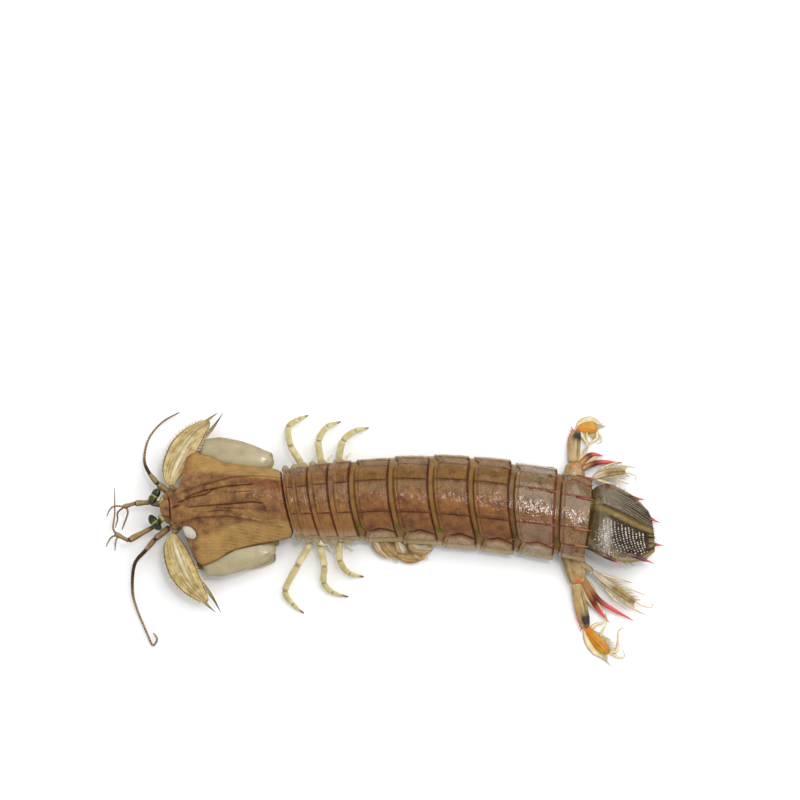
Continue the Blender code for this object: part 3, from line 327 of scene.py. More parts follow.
def distance_to(points, path):
    """Flat distance of each point from a drawn line, and how far along the line it lies."""
    path = np.array(path, float)
    best = np.full(len(points), np.inf)
    where = np.zeros(len(points))
    total = len(path) - 1
    for k in range(total):
        a, b = path[k], path[k + 1]
        d = b - a
        t = np.clip(((points[:, :2] - a) @ d) / (d @ d), 0, 1)
        gap = np.linalg.norm(points[:, :2] - (a + t[:, None] * d), axis=1)
        closer = gap < best
        best = np.where(closer, gap, best)
        where = np.where(closer, (k + t) / total, where)
    return best, where


print("limb, leaf and line tools are ready")

# %% [markdown]
# ## Wet shell as a material
# The shell is never one colour: it is mottled at three scales, freckled, and glossy where it is
# wet. One recipe makes all the finishes. Two tones are mixed by noise, then the marks of the piece
# lay pale skin, patches, dark lines and tips over them. Fine pits and wrinkles go into the bump,
# and all noise is measured on the object, so that it stays in place from every side. Colours are
# given as on a paint card, from 0 to 255, and are turned into the linear values a shader needs.

# %% Paint card colours
def tone(red, green, blue):
    """A paint card colour as linear values."""
    found = []
    for value in (red, green, blue):
        c = value / 255
        found.append(c / 12.92 if c <= 0.04045 else ((c + 0.055) / 1.055) ** 2.4)
    return (*found, 1.0)


FILM_WAVES, LEAF_VEINS = 1150.0, 1500.0


class Recipe:
    """A material's nodes, with short ways to add and join them."""

    def __init__(self, name):
        self.material = bpy.data.materials.new(name)
        self.material.use_nodes = True
        self.tree = self.material.node_tree
        self.shader = self.tree.nodes["Principled BSDF"]
        self.where = self.tree.nodes.new("ShaderNodeTexCoord").outputs["Object"]
        self.marks = {}

    def node(self, kind, inputs=(), **settings):
        made = self.tree.nodes.new(kind)
        for key, value in settings.items():
            setattr(made, key, value)
        for socket, value in dict(inputs).items():
            if isinstance(value, bpy.types.NodeSocket):
                self.tree.links.new(value, made.inputs[socket])
            else:
                made.inputs[socket].default_value = value
        return made

    def noise(self, scale, detail=3.0, rough=0.55):
        """Noise of so many features per metre."""
        return self.node("ShaderNodeTexNoise", {"Vector": self.where, "Scale": scale, "Detail": detail,
                                                "Roughness": rough}).outputs[0]

    def cells(self, scale):
        """Distances in a pattern of small cells."""
        return self.node("ShaderNodeTexVoronoi", {"Vector": self.where, "Scale": scale}).outputs["Distance"]

    def span(self, value, low, high, start=0.0, stop=1.0):
        """A value drawn from one range to another, held at both ends."""
        return self.node("ShaderNodeMapRange", {"Value": value, "From Min": low, "From Max": high,
                                                "To Min": start, "To Max": stop}).outputs[0]

    def plus(self, a, b):
        return self.node("ShaderNodeMath", {0: a, 1: b}, operation="ADD").outputs[0]

    def times(self, a, b):
        return self.node("ShaderNodeMath", {0: a, 1: b}, operation="MULTIPLY").outputs[0]

    def mix(self, share, a, b):
        """Two colours mixed by a share."""
        return self.node("ShaderNodeMix", {0: share, 6: a, 7: b}, data_type="RGBA").outputs[2]

    def bump(self, height, strength, distance):
        """A direction of the surface that follows a height; the distance is in metres."""
        return self.node("ShaderNodeBump", {"Height": height, "Strength": strength,
                                            "Distance": distance}).outputs[0]

    def feed(self, value, socket):
        """Leads a value to one of the shader's sockets."""
        self.tree.links.new(value, self.shader.inputs[socket])

    def mark(self, name):
        """One of the four marks that the piece carries."""
        if not self.marks:
            read = self.node("ShaderNodeAttribute", attribute_name="Marks")
            parts = self.node("ShaderNodeSeparateColor", {"Color": read.outputs["Color"]})
            self.marks = {"dark": parts.outputs[0], "pale": parts.outputs[1],
                          "patch": parts.outputs[2], "tip": read.outputs["Alpha"]}
        return self.marks[name]

    def fixed(self, **values):
        """Values that are the same all over, set on the shader's own sockets."""
        for key, value in values.items():
            self.shader.inputs[key.replace("_", " ")].default_value = value


def shell_finish(name, *cards, rough=0.36, coat=0.35, coat_rough=0.12, mottle=420.0, grain=2300.0,
                 freckle=0.2, bump=0.35, pits=0.0, under=0.08, relief=0.00022, film_relief=0.00003):
    """Wet, mottled shell or skin that shows the marks of its piece.

    The cards are the deep and the light tone, then those of the dark, pale, patch and tip marks.
    """
    deep, light, dark, pale, patch, tip = (tone(*card) for card in cards)
    r = Recipe(name)
    broad, middle, fine = r.noise(mottle, 4, 0.6), r.noise(grain, 4, 0.62), r.noise(grain * 4, 2, 0.5)
    share = r.span(r.plus(broad, r.times(middle, 0.55)), 0.58, 0.98)
    colour = r.mix(share, deep, light)
    colour = r.mix(r.span(fine, 0.56, 0.72, 0.0, freckle), colour, dark)
    uneven = r.span(middle, 0.3, 0.6, 0.72, 1.0)
    colour = r.mix(r.times(r.mark("pale"), r.span(broad, 0.3, 0.6, 0.72, 1.0)), colour, pale)
    colour = r.mix(r.times(r.mark("patch"), uneven), colour, patch)
    colour = r.mix(r.times(r.mark("tip"), r.span(broad, 0.3, 0.6, 0.82, 1.0)), colour, tip)
    colour = r.mix(r.times(r.span(r.mark("dark"), 0.0, 0.85), uneven), colour, dark)
    r.feed(colour, "Base Color")
    r.feed(r.span(broad, 0.35, 0.65, rough + 0.1, max(rough - 0.12, 0.06)), "Roughness")
    height = r.plus(r.times(middle, 0.7), r.times(fine, 0.3))
    if pits:
        hollow = r.span(r.cells(grain * 0.55), 0.0, 0.32, 0.0, 1.0)
        height = r.plus(height, r.times(hollow, pits))
    r.feed(r.bump(height, bump, relief), "Normal")
    r.feed(r.bump(r.noise(FILM_WAVES, 2, 0.6), 1.0, film_relief), "Coat Normal")
    off_lines = r.span(r.mark("dark"), 0.0, 0.8, 1.0, 0.25)
    shine = r.times(off_lines, r.span(r.mark("pale"), 0.0, 0.7, 1.0, 0.3))
    r.feed(r.times(shine, 0.3), "Specular IOR Level")
    r.feed(r.times(shine, coat), "Coat Weight")
    r.fixed(Coat_Roughness=coat_rough, Subsurface_Weight=under, Subsurface_Scale=0.0012,
            Subsurface_Radius=(1.0, 0.5, 0.25))
    return r.material


def leaf_finish(name, *cards, clear, rough=0.4):
    """Thin horny skin of leaves and setae, which lets some light through and shows its veins.

    The cards are the body and the edge, then those of the dark and the patch mark.
    """
    body, edge, dark, core = (tone(*card) for card in cards)
    r = Recipe(name)
    broad, fine = r.noise(500.0, 3), r.noise(LEAF_VEINS, 3, 0.6)
    colour = r.mix(r.span(broad, 0.35, 0.65), body, edge)
    colour = r.mix(r.times(r.mark("patch"), r.span(fine, 0.25, 0.6, 0.6, 1.0)), colour, core)
    colour = r.mix(r.times(r.mark("pale"), 0.8), colour, tone(226, 220, 204))
    colour = r.mix(r.times(r.mark("dark"), r.span(fine, 0.3, 0.6, 0.7, 1.0)), colour, dark)
    colour = r.mix(r.mark("tip"), colour, tone(74, 54, 46))
    r.feed(colour, "Base Color")
    r.feed(r.bump(fine, 0.3, 0.00012), "Normal")
    r.fixed(Roughness=rough, Coat_Weight=0.12, Coat_Roughness=0.15, Specular_IOR_Level=0.25,
            Subsurface_Weight=clear, Subsurface_Scale=0.001, Subsurface_Radius=(1.0, 0.7, 0.4))
    return r.material


# %% The finishes of this animal
carapace_shell = shell_finish("carapace_shell", (84, 48, 16), (156, 112, 56), (66, 18, 8),
                              (172, 138, 82), (196, 190, 176), (116, 50, 18),
                              rough=0.4, coat=0.22, mottle=330, pits=0.25, freckle=0.45, bump=0.6)
thorax_shell = shell_finish("thorax_shell", (84, 50, 18), (140, 95, 40), (62, 22, 8),
                            (148, 120, 70), (180, 170, 140), (150, 100, 36),
                            rough=0.36, coat=0.3, mottle=400, pits=0.2, freckle=0.34, bump=0.45)
ABDOMEN_TONES = ((90, 48, 12), (138, 89, 33), (64, 22, 8), (136, 108, 58), (84, 88, 16), (172, 152, 112))
abdomen_shell = shell_finish("abdomen_shell", *ABDOMEN_TONES, rough=0.38, coat=0.2, mottle=340, pits=0.3,
                             freckle=0.34, bump=0.5)
wet_shell = shell_finish("wet_shell", (98, 62, 26), (146, 106, 58), (104, 30, 18), *ABDOMEN_TONES[3:],
                         rough=0.3, coat=1.0, coat_rough=0.07, mottle=340, pits=0.6, freckle=0.3,
                         bump=1.0, relief=0.0004, film_relief=0.00012)
print("shell finishes:", [m.name for m in bpy.data.materials if m.name.endswith("shell")])

# %% [markdown]
# ## Copies of one small form
# Spines, beads and setae repeat many times. Each is modelled once as a small template, and a
# list of places gives every copy its spot, heading, length and width. All copies land in one
# mesh with the marks of the template.

# %% The planting tool
def aimed(root, tip, width, roll=0.0, thick=None):
    """Place of a copy whose template runs from z = 0 to z = 1 and is one wide."""
    root, tip = Vector(root), Vector(tip)
    along = tip - root
    turn = along.to_track_quat("Z", "Y").to_matrix().to_4x4() @ Matrix.Rotation(roll, 4, "Z")
    size = Matrix.Diagonal((width, width if thick is None else thick, along.length, 1.0))
    return Matrix.Translation(root) @ turn @ size


def planted(name, template, places, tints):
    """One mesh with a copy of the template at each place, given in millimetres.

    The tints are added to the marks, as one for all copies or as one for each.
    """
    source = template.data
    co = np.empty(len(source.vertices) * 3)
    source.vertices.foreach_get("co", co)
    co = co.reshape(-1, 3)
    loops = np.empty(len(source.loops), int)
    source.loops.foreach_get("vertex_index", loops)
    totals = np.empty(len(source.polygons), int)
    source.polygons.foreach_get("loop_total", totals)
    base = np.empty(len(source.vertices) * 4)
    source.color_attributes["Marks"].data.foreach_get("color", base)
    base = base.reshape(-1, 4)
    count = len(places)
    points, marks = [], []
    for place, tint in zip(places, np.broadcast_to(tints, (count, 4))):
        m = np.array(place)
        points.append(co @ m[:3, :3].T + m[:3, 3])
        marks.append(np.clip(base + tint, 0, 1))
    every = (loops[None, :] + np.arange(count)[:, None] * len(co)).ravel()
    mesh = bpy.data.meshes.new(name)
    mesh.vertices.add(count * len(co))
    mesh.vertices.foreach_set("co", ((np.concatenate(points) + OFFSET) * MM).ravel())
    mesh.loops.add(len(every))
    mesh.loops.foreach_set("vertex_index", every)
    sizes = np.tile(totals, count)
    mesh.polygons.add(len(sizes))
    mesh.polygons.foreach_set("loop_start", np.concatenate(([0], np.cumsum(sizes)[:-1])))
    mesh.update(calc_edges=True)
    mesh.validate()
    layer = mesh.color_attributes.new("Marks", "FLOAT_COLOR", "POINT")
    layer.data.foreach_set("color", np.concatenate(marks).astype(np.float32).ravel())
    mesh.shade_smooth()
    piece = bpy.data.objects.new(name, mesh)
    bpy.context.scene.collection.objects.link(piece)
    return piece


def template_from(name, shape_marks):
    """Names the form just modelled and gives it marks by its height, then takes it off stage."""
    piece = bpy.context.object
    piece.name = piece.data.name = name
    co = np.empty(len(piece.data.vertices) * 3)
    piece.data.vertices.foreach_get("co", co)
    height = co[2::3]
    layer = piece.data.color_attributes.new("Marks", "FLOAT_COLOR", "POINT")
    layer.data.foreach_set("color", shape_marks(height).astype(np.float32).ravel())
    piece.hide_render = True
    piece.hide_set(True)
    return piece


# %% [markdown]
# ### The spine
# A spine is a cone that leans and curves a little toward its tip. A cone is added one unit tall,
# cut into rings in edit mode, and each ring is moved aside and drawn in, which leaves a fine
# claw-like point.

# %% Spine template
def curved_cone(name, sides, cuts, lean, waist, shape_marks):
    """A unit cone whose rings lean aside by lean and are drawn in by waist."""
    bpy.ops.object.select_all(action="DESELECT")
    bpy.ops.mesh.primitive_cone_add(vertices=sides, radius1=0.5, radius2=0.0, depth=1.0,
                                    location=(0, 0, 0.5), end_fill_type="NGON")
    bpy.ops.object.transform_apply(location=True)
    cone = bpy.context.object
    bpy.ops.object.mode_set(mode="EDIT")
    bpy.ops.mesh.select_mode(type="EDGE")
    for k in range(1, cuts + 1):
        bpy.ops.mesh.select_all(action="SELECT")
        bpy.ops.mesh.bisect(plane_co=(0, 0, k / (cuts + 1)), plane_no=(0, 0, 1))
    bpy.ops.object.mode_set(mode="OBJECT")
    for vertex in cone.data.vertices:
        z = vertex.co.z
        full = 1 - waist * math.sin(math.pi * min(z, 1.0)) * 0.5 + 0.25 * math.sin(math.pi * z)
        vertex.co.x = vertex.co.x * full + lean * z * z
        vertex.co.y *= full
    return template_from(name, shape_marks)


def by_height(**marks):
    """Marks that change from the root of a form to its point, each given as its two ends."""
    return lambda z: marks_of(z, **{mark: low + (high - low) * z for mark, (low, high) in marks.items()})


spine_form = curved_cone("spine_form", 12, 5, 0.1, 0.1, by_height(dark=(0.75, 0.1), tip=(0.0, 1.0)))
seta_form = curved_cone("seta_form", 4, 3, 0.12, -0.2, by_height(dark=(0.02, 0.3), tip=(0.0, 0.12)))
print("templates:", spine_form.name, len(spine_form.data.polygons), seta_form.name,
      len(seta_form.data.polygons))

# %% [markdown]
# ## The plates of the trunk
# Each ring of the trunk has an arched plate over a softer belly. In front it carries a lower,
# paler collar that slides under the plate before it, and at the rear a thin dark lip. Long keels
# run along the plate. The rule below walks round one section, from the left edge over the back
# and home under the belly, and lays collar, furrow, keels, swellings and lip on it.

# %% Section of a trunk plate
GAP = 0.3
KEELS = {"thorax": (0.37,), "abdomen": (0.37, 0.91), "last": (0.37, 0.74, 0.91)}
TOP_SHARE = 0.76
RING_ARCH, LAST_ARCH = (2.3, 0.62), (2.2, 0.7)


def arch(s, top, edge, p, q):
    """Height of a section at a share across it; p sets how flat its back is, q how steep its sides."""
    return edge + (top - edge) * np.clip(1 - np.abs(s) ** p, 0, 1) ** q


def over_the_back(u):
    """Share across the back from -1 to 1, closer set toward the steep sides."""
    t = np.clip(u / TOP_SHARE, 0, 1) * 2 - 1
    return np.sin(t * np.pi / 2) * 0.72 + t * 0.28


def below_the_edge(u):
    """Share of the way home under the belly, from 0 at the right edge to 1 at the left one."""
    return np.clip((u - TOP_SHARE) / (1 - TOP_SHARE), 0, 1)


def section(u, half, top, edge, belly, power, hollow):
    """Across and height round the section, with its outward direction, for points of one ring."""
    s = over_the_back(u)
    step = 1e-3
    z = arch(s, top, edge, *power)
    near = np.clip(s, -1 + step, 1 - step)
    dz = arch(near + step, top, edge, *power) - arch(near - step, top, edge, *power)
    dy = 2 * step * half
    length = np.hypot(dz, dy)
    out_y, out_z = -dz / length, dy / length
    under = below_the_edge(u)
    low = edge - 0.15
    turned_in = 0.04
    knots = (0.0, turned_in, 0.2, 0.42, 0.58, 0.8, 1 - turned_in, 1.0)
    below = np.interp(under, knots, (1.0, 0.95, hollow, 0.45, -0.45, -hollow, -0.95, -1.0)) * half
    bend = np.interp(under, knots, (0, 0.03, 0.8, 1.0, 1.0, 0.8, 0.03, 0))
    to_edge = np.minimum(under, 1 - under)
    height = np.where(to_edge < turned_in, edge + (low - edge) * np.minimum(to_edge / turned_in, 1.0),
                      low + (belly - low) * bend)
    on_top = u <= TOP_SHARE
    return (np.where(on_top, half * s, below), np.where(on_top, z, height), s,
            np.where(on_top, out_y, 0.0), np.where(on_top, out_z, -1.0), on_top)


def ripples(x, y, seed, size):
    """Small uneven swelling of a surface, the same each run."""
    draw = random.Random(seed)
    total = np.zeros(np.shape(x))
    waves = 7
    for _ in range(waves):
        angle, phase = draw.uniform(0, math.tau), draw.uniform(0, math.tau)
        pitch = size * draw.uniform(0.6, 1.7)
        total += np.sin((x * math.cos(angle) + y * math.sin(angle)) * math.tau / pitch + phase)
    return total / waves


def highest(*values):
    """The highest of several values at each point."""
    return np.maximum.reduce(np.broadcast_arrays(*values))


def trunk_plate(name, sizes, kind, seed, rolls=(0.0, 0.0), slant=0.0, power=RING_ARCH, hollow=0.84,
                edge_tone=1.0):
    """One ring of the trunk as a fine closed shell; kind is thorax, abdomen or last."""
    x0, x1, half, top, edge, belly = sizes
    x0, x1 = x0 + GAP / 2, x1 - GAP / 2
    length = x1 - x0
    collar = min(1.55, length * 0.25)
    plate = collar + 0.4
    lip = 0.5 if kind != "last" else 0.0
    knots = (0.0, 0.05, 0.08, 0.17, 0.22, 0.9, 0.94, 0.955, 0.97, 1.0)
    along = (0.05, 0.0, 0.1, collar, plate, length - 0.35, length + lip, length + lip, length - 0.1,
             length - 0.1)
    scale = (0.02, 0.97, 1.0, 1.0, 1.0, 1.0, 1.0, 0.965, 0.93, 0.02)
    thorax, abdomen, last = (kind == known for known in ("thorax", "abdomen", "last"))
    depth, band_tone, fine_furrow = (0.5, 0.12, 0.06) if thorax else (1.0, 0.9, 0.45)

    def place(u, v):
        at = np.interp(v, knots, along)
        shrink = np.interp(v, knots, scale)
        curl = (1.1 if abdomen else 0.5) * bell(np.abs(over_the_back(u)), 0.80, 0.08)
        up = ramp(at - curl, collar - 0.05, plate)
        sunk = (1 - up) * depth
        tail = ramp(at, length - 0.7, length)
        across, z, s, out_y, out_z, on_top = section(
            u, half - 0.6 * sunk - 0.1 * tail, top - 0.9 * sunk - 0.12 * tail,
            edge + 0.24 * (1 - up), belly, power, hollow)
        a = np.abs(s)
        share = np.clip((at - plate) / (length - plate), 0, 1)
        on_plate = ramp(at - curl, collar + 0.1, plate + 0.2) * on_top
        keels = sum(bell(a, keel, 0.019) for keel in KEELS[kind])
        wave = 0.785 - 0.04 * bell(share, 0.55, 0.17) + 0.04 * ramp(share, 0.75, 1.0)
        on_left = (s < 0) * abdomen
        wavy = bell(a, wave, 0.015) * ramp(share, 0.12, 0.3) * on_left
        swelling = bell(a, wave + 0.05, 0.045) * bell(share, 0.58, 0.2) * on_left
        knob = bell(np.hypot((a - 0.74) * half, at - 5.2), 0, 2.0) * last
        furrow = bell(at - curl, plate + 0.85, 0.16) * ramp(a, 0.02, 0.1)
        lift = on_plate * (
            0.24 * keels + 0.38 * swelling + 0.8 * knob - 0.16 * wavy - 0.14 * furrow
            + 0.1 * bell(at, plate + 0.35, 0.25) + 0.1 * ripples(s * half, at, seed, 3.2)
            + 0.05 * ripples(s * half, at, seed + 9, 1.1) - 0.1 * bell(at, length - 0.75, 0.25))
        across, z = across + out_y * lift, z + out_z * lift
        across = across * (1 + 0.022 * share * ramp(a, 0.85, 1.0) * on_top)
        middle_z = (top + belly) / 2 - 0.5
        across, z = across * shrink, middle_z + (z - middle_z) * shrink
        turn = np.radians(rolls[0] + (rolls[1] - rolls[0]) * np.clip(at / length, 0, 1))
        pivot = (top + edge) / 2
        y = across * np.cos(turn) + (z - pivot) * np.sin(turn)
        z = pivot + (z - pivot) * np.cos(turn) - across * np.sin(turn)
        overhang = np.where(on_top, at, np.minimum(at, length))
        points = on_body(x0 + overhang, y, z, slant * s * s * np.clip(1 - at / length, 0, 1))

        keel_lines = 0.95 * keels * (a < 0.86) * (0.6 + 0.4 * bell(share, 0.6, 0.5))
        edge_line = edge_tone * ramp(at, length - 0.34, length - 0.1)
        pit = bell(np.hypot((s - 0.53) * half, np.abs(share - 0.55) * length - 0.55), 0, 0.3)
        ring_lines = abdomen * highest(0.6 * bell(a, 0.335, 0.010), 0.7 * bell(s, 0.74, 0.012), 0.8 * pit)
        plate_lines = highest(keel_lines, ring_lines, fine_furrow * furrow, wavy,
                              0.55 * bell(a, 0.925, 0.012))
        dark = on_top * highest(on_plate * plate_lines, 0.95 * edge_line * ramp(1 - a, 0.02, 0.1),
                                fine_furrow * bell(at - curl, collar + 0.05, 0.2))
        side = ramp(a, 0.93, 0.99) * 0.8 if thorax else ramp(a, 0.9, 0.985)
        # The collar is less pale near its front edge, under the lip of the ring ahead: painted shade.
        pale = highest(band_tone * (1 - up) * (0.75 - 0.35 * bell(at, 0.25, 0.3)) * on_top, 0.9 * side,
                       0.95 * (~on_top))
        if thorax:
            patch, tip = 0.75 * ramp(-s, 0.72, 0.95), 0.5 * ramp(0.5 - s * 0.5, 0.45, 0.85)
        else:
            patch = highest(0.95 * bell(s, -0.7, 0.07) * (1 - up), 0.24 * ramp(s, 0.06, 0.13) * up,
                            0.5 * bell(a, 0.80, 0.1) * ramp(share, 0.85, 0.97),
                            0.55 * ramp(share, 0.8, 0.93) * last)
            mottled = 0.75 + 0.5 * ripples(s * half, at, seed + 3, 1.3)
            flank = ramp(a, wave + 0.01, wave + 0.12) * on_left * ramp(share, 0.0, 0.2)
            tip = highest(side, 0.85 * flank * mottled)
        return points, marks_of(u, dark=dark, pale=pale, patch=patch * on_top, tip=tip * on_top)

    return rolled(name, 230, 96 if length > 8 else 64, place)


# %% [markdown]
# ### Four rings behind the carapace
# The walking rings are short and dark, and small rounded lobes stand out below their edges. The
# lobe is a small sphere, planted in the edge and drawn out to an egg.

# %% The walking rings
THORAX = {"thorax_5": (-29.9, -27.2, 10.9, 15.4, 6.6, 5.9), "thorax_6": (-27.2, -22.1, 11.3, 15.3, 6.4, 5.8),
          "thorax_7": (-22.1, -16.1, 11.9, 15.3, 6.2, 5.8), "thorax_8": (-16.1, -9.7, 12.3, 15.4, 6.0, 5.8)}
LOBES = {"thorax_5": ((0.3, -0.5, 1.2, 2.3),), "thorax_8": ((-0.2, 0.4, 1.1, 4.0),),
         "thorax_6": ((-1.2, -1.4, 1.1, 2.5), (1.1, 1.4, 1.5, 3.0)),
         "thorax_7": ((-1.3, -1.5, 1.1, 2.5), (1.1, 1.4, 1.5, 3.0))}
bpy.ops.object.select_all(action="DESELECT")
bpy.ops.mesh.primitive_uv_sphere_add(segments=20, ring_count=12, radius=0.5, location=(0, 0, 0.5))
bpy.ops.object.transform_apply(location=True)
lobe_form = template_from("lobe_form", by_height(dark=(0.35, 0.0), pale=(0.1, 0.3)))


for number, (name, sizes) in enumerate(THORAX.items()):
    x0, x1, half, top, edge, belly = sizes
    under_carapace = {"slant": 0.2, "edge_tone": 0.3} if name == "thorax_5" else {}
    shell = trunk_plate(name + "_shell", sizes, "thorax", 20 + number, hollow=0.8, **under_carapace)
    middle = (x0 + x1) / 2
    places = []
    for side in (LEFT, RIGHT):
        for root, tip, reach, width in LOBES[name]:
            start = on_body(middle + root, side * (half - 2.4), edge + 1.3)
            stop = on_body(middle + tip, side * (half + reach), edge - 0.2)
            places.append(aimed(start, stop, width, thick=1.7))
    lobes = planted(name + "_lobes", lobe_form, places, tints=(0, 0, 0.7, 0))
    dress(joined(name + "_shell", [shell, lobes]), thorax_shell, "dark_shell", name)

# %% [markdown]
# ### The abdomen
# Five long rings and a sixth that bears the tail fan. Their rear corners end in short spines, and
# from the fourth ring on the keels end in spines too, red on the sixth ring.

# %% The rings of the abdomen
ABDOMEN = {"abdomen_1": (-9.7, 2.2, 12.9, 16.0, 3.5, 6.3), "abdomen_2": (2.2, 14.4, 13.7, 16.5, 3.4, 6.3),
           "abdomen_3": (14.4, 26.5, 14.5, 16.8, 3.4, 6.4), "abdomen_4": (26.5, 38.7, 14.7, 16.5, 3.4, 6.3),
           "abdomen_5": (38.7, 51.9, 14.2, 15.4, 3.6, 6.0)}
SIXTH = (51.9, 62.4, 13.1, 13.6, 5.6, 5.0)
KEEL_SPINES = {"abdomen_4": (0.74,), "abdomen_5": (0.37, 0.74)}

for number, (name, sizes) in enumerate(ABDOMEN.items()):
    x0, x1, half, top, edge, belly = sizes
    rolls = (0.0, 3.0) if name == "abdomen_5" else (0.0, 0.0)
    shell = trunk_plate(name + "_shell", sizes, "abdomen", 40 + number, rolls=rolls)
    places = []
    for side in (LEFT, RIGHT):
        for share in KEEL_SPINES.get(name, ()):
            z = float(arch(share, top, edge, *RING_ARCH))
            places.append(aimed(on_body(x1 - 2.2, side * share * half, z - 0.2),
                                on_body(x1 + 0.7, side * share * half, z + 0.6), 0.85))
        places.append(aimed(on_body(x1 - 2.4, side * (half - 0.5), edge + 0.55),
                            on_body(x1 - 0.1, side * (half + 0.1), edge - 0.2), 0.9))
    spines = planted(name + "_spines", spine_form, places, tints=(-0.2, 0.2, 0.0, -0.5))
    finish = wet_shell if name == "abdomen_5" else abdomen_shell
    dress(joined(name + "_shell", [shell, spines]), finish, "shell", name)

# %% The sixth ring and its red spines
red_shell = shell_finish("red_keel_shell", (128, 48, 24), (156, 72, 42), (76, 22, 14),
                         (180, 140, 96), (140, 116, 46), (190, 80, 60), rough=0.25, coat=0.5)
x0, x1, half, top, edge, belly = SIXTH
sixth = trunk_plate("abdomen_6_shell", SIXTH, "last", 60, rolls=(3.0, 8.0), power=LAST_ARCH, hollow=0.8)
dress(sixth, wet_shell, "shell", "abdomen_6")
SPINE_ROLL = math.radians(7.5)
places = []
for share, reach in ((0.37, 2.0), (0.74, 1.8), (0.93, 1.2)):
    for side in (LEFT, RIGHT):
        reach = min(reach, 1.5 + 0.5 * side)
        z = float(arch(share, top, edge, *LAST_ARCH)) - side * share * half * math.sin(SPINE_ROLL)
        places.append(aimed(on_body(x1 - 4.6, side * share * half, z - 0.25),
                            on_body(x1 + reach, side * share * half, z + 0.75), 1.25))
tints = [(-0.3, 0.4, 0.3, -0.5), (0, 0, 0, 0)] * 3    # left, right
dress(planted("abdomen_6_spines", spine_form, places, tints=tints), red_shell, "shell")

# %% [markdown]
# ## The carapace
# One broad shield covers the head and the front of the chest. Its narrow middle reaches forward
# between the eyes, and thin wings flare out behind a slanting front edge, with a rounded notch at
# the corner where a pale limb base shows. Dark grooves were measured on the photo and are drawn
# by their distance from each line, raised or sunk as on the real shield.

# %% Measured lines of the carapace
HALF_LINE = ((-66.0, 3.6), (-64.2, 5.2), (-62.9, 6.6), (-62.0, 9.4), (-61.3, 11.8), (-60.5, 14.4),
             (-59.4, 16.7), (-58.0, 17.6), (-56.0, 17.2), (-52.6, 15.9), (-49.5, 14.1), (-45.0, 12.9),
             (-40.0, 12.0), (-34.5, 11.3), (-30.35, 10.6))
ARCH_HALF = ((-66.0, 17.6), (-57.0, 17.6), (-52.6, 15.9), (-49.5, 14.1), (-45.0, 12.9), (-40.0, 12.0),
             (-34.5, 11.3), (-30.35, 10.6))
TOP_LINE = ((-66.0, 11.7), (-64.2, 12.2), (-61.0, 12.9), (-57.5, 13.5), (-54.6, 13.9), (-52.6, 14.2),
            (-49.5, 14.7), (-45.0, 15.2), (-40.0, 15.7), (-34.5, 16.0), (-30.35, 15.9))
SKEW_LINE = ((-66.0, 0.3), (-61.0, 1.1), (-54.0, 1.5), (-49.5, 2.2), (-45.0, 2.2), (-40.0, 1.7), (-34.5, 1.0),
             (-30.35, 0.5))
GROOVES = (((-61.7, 11.9), (-56.4, 13.9), (-48.7, 15.4), (-40.8, 15.9)),
           ((-60.4, 9.1), (-49.0, 9.8), (-40.7, 10.4), (-37.6, 10.0)),
           ((-65.5, 9.0), (-63.0, 9.8)), ((-63.6, 10.5), (-59.8, 12.1), (-55.2, 12.9), (-52.1, 14.8)))
FAINT_LINES = (((-56.3, 7.3), (-51.4, 8.0), (-45.0, 7.7)), ((-37.6, 10.0), (-36.9, 9.0), (-36.4, 7.6)),
               ((-52.0, 8.9), (-40.0, 8.4)), ((-50.0, 13.3), (-38.0, 13.9)),
               ((-39.5, 5.0), (-35.0, 4.3), (-32.2, 3.9)), ((-36.0, 17.6), (-33.2, 16.6), (-32.0, 12.0)))
SIDE_KEELS = (((-64.3, 3.9), (-61.1, 4.7), (-57.7, 5.8), (-48.4, 6.3), (-40.8, 5.1), (-31.4, 3.1)),
              ((-64.4, 13.4), (-57.9, 15.4), (-47.1, 18.3), (-41.0, 18.8), (-32.4, 18.4)))
NOTCH = (-60.1, 1.5)


SHIELD_BASE, BELLY_HEIGHT, WING_END = 8.0, 6.0, -54.0
NOTCH_TURN, NOTCH_LONG, NOTCH_WIDE = math.radians(-38), 2.5, 1.55


def shield_height(s, x, half, top):
    """Height of the carapace at a share across it, before its wings droop."""
    share = np.clip(half * np.abs(s) / eased(ARCH_HALF, x), 0, 1)
    return SHIELD_BASE + (top - SHIELD_BASE) * np.clip(1 - share ** 1.75, 0, 1) ** 0.95


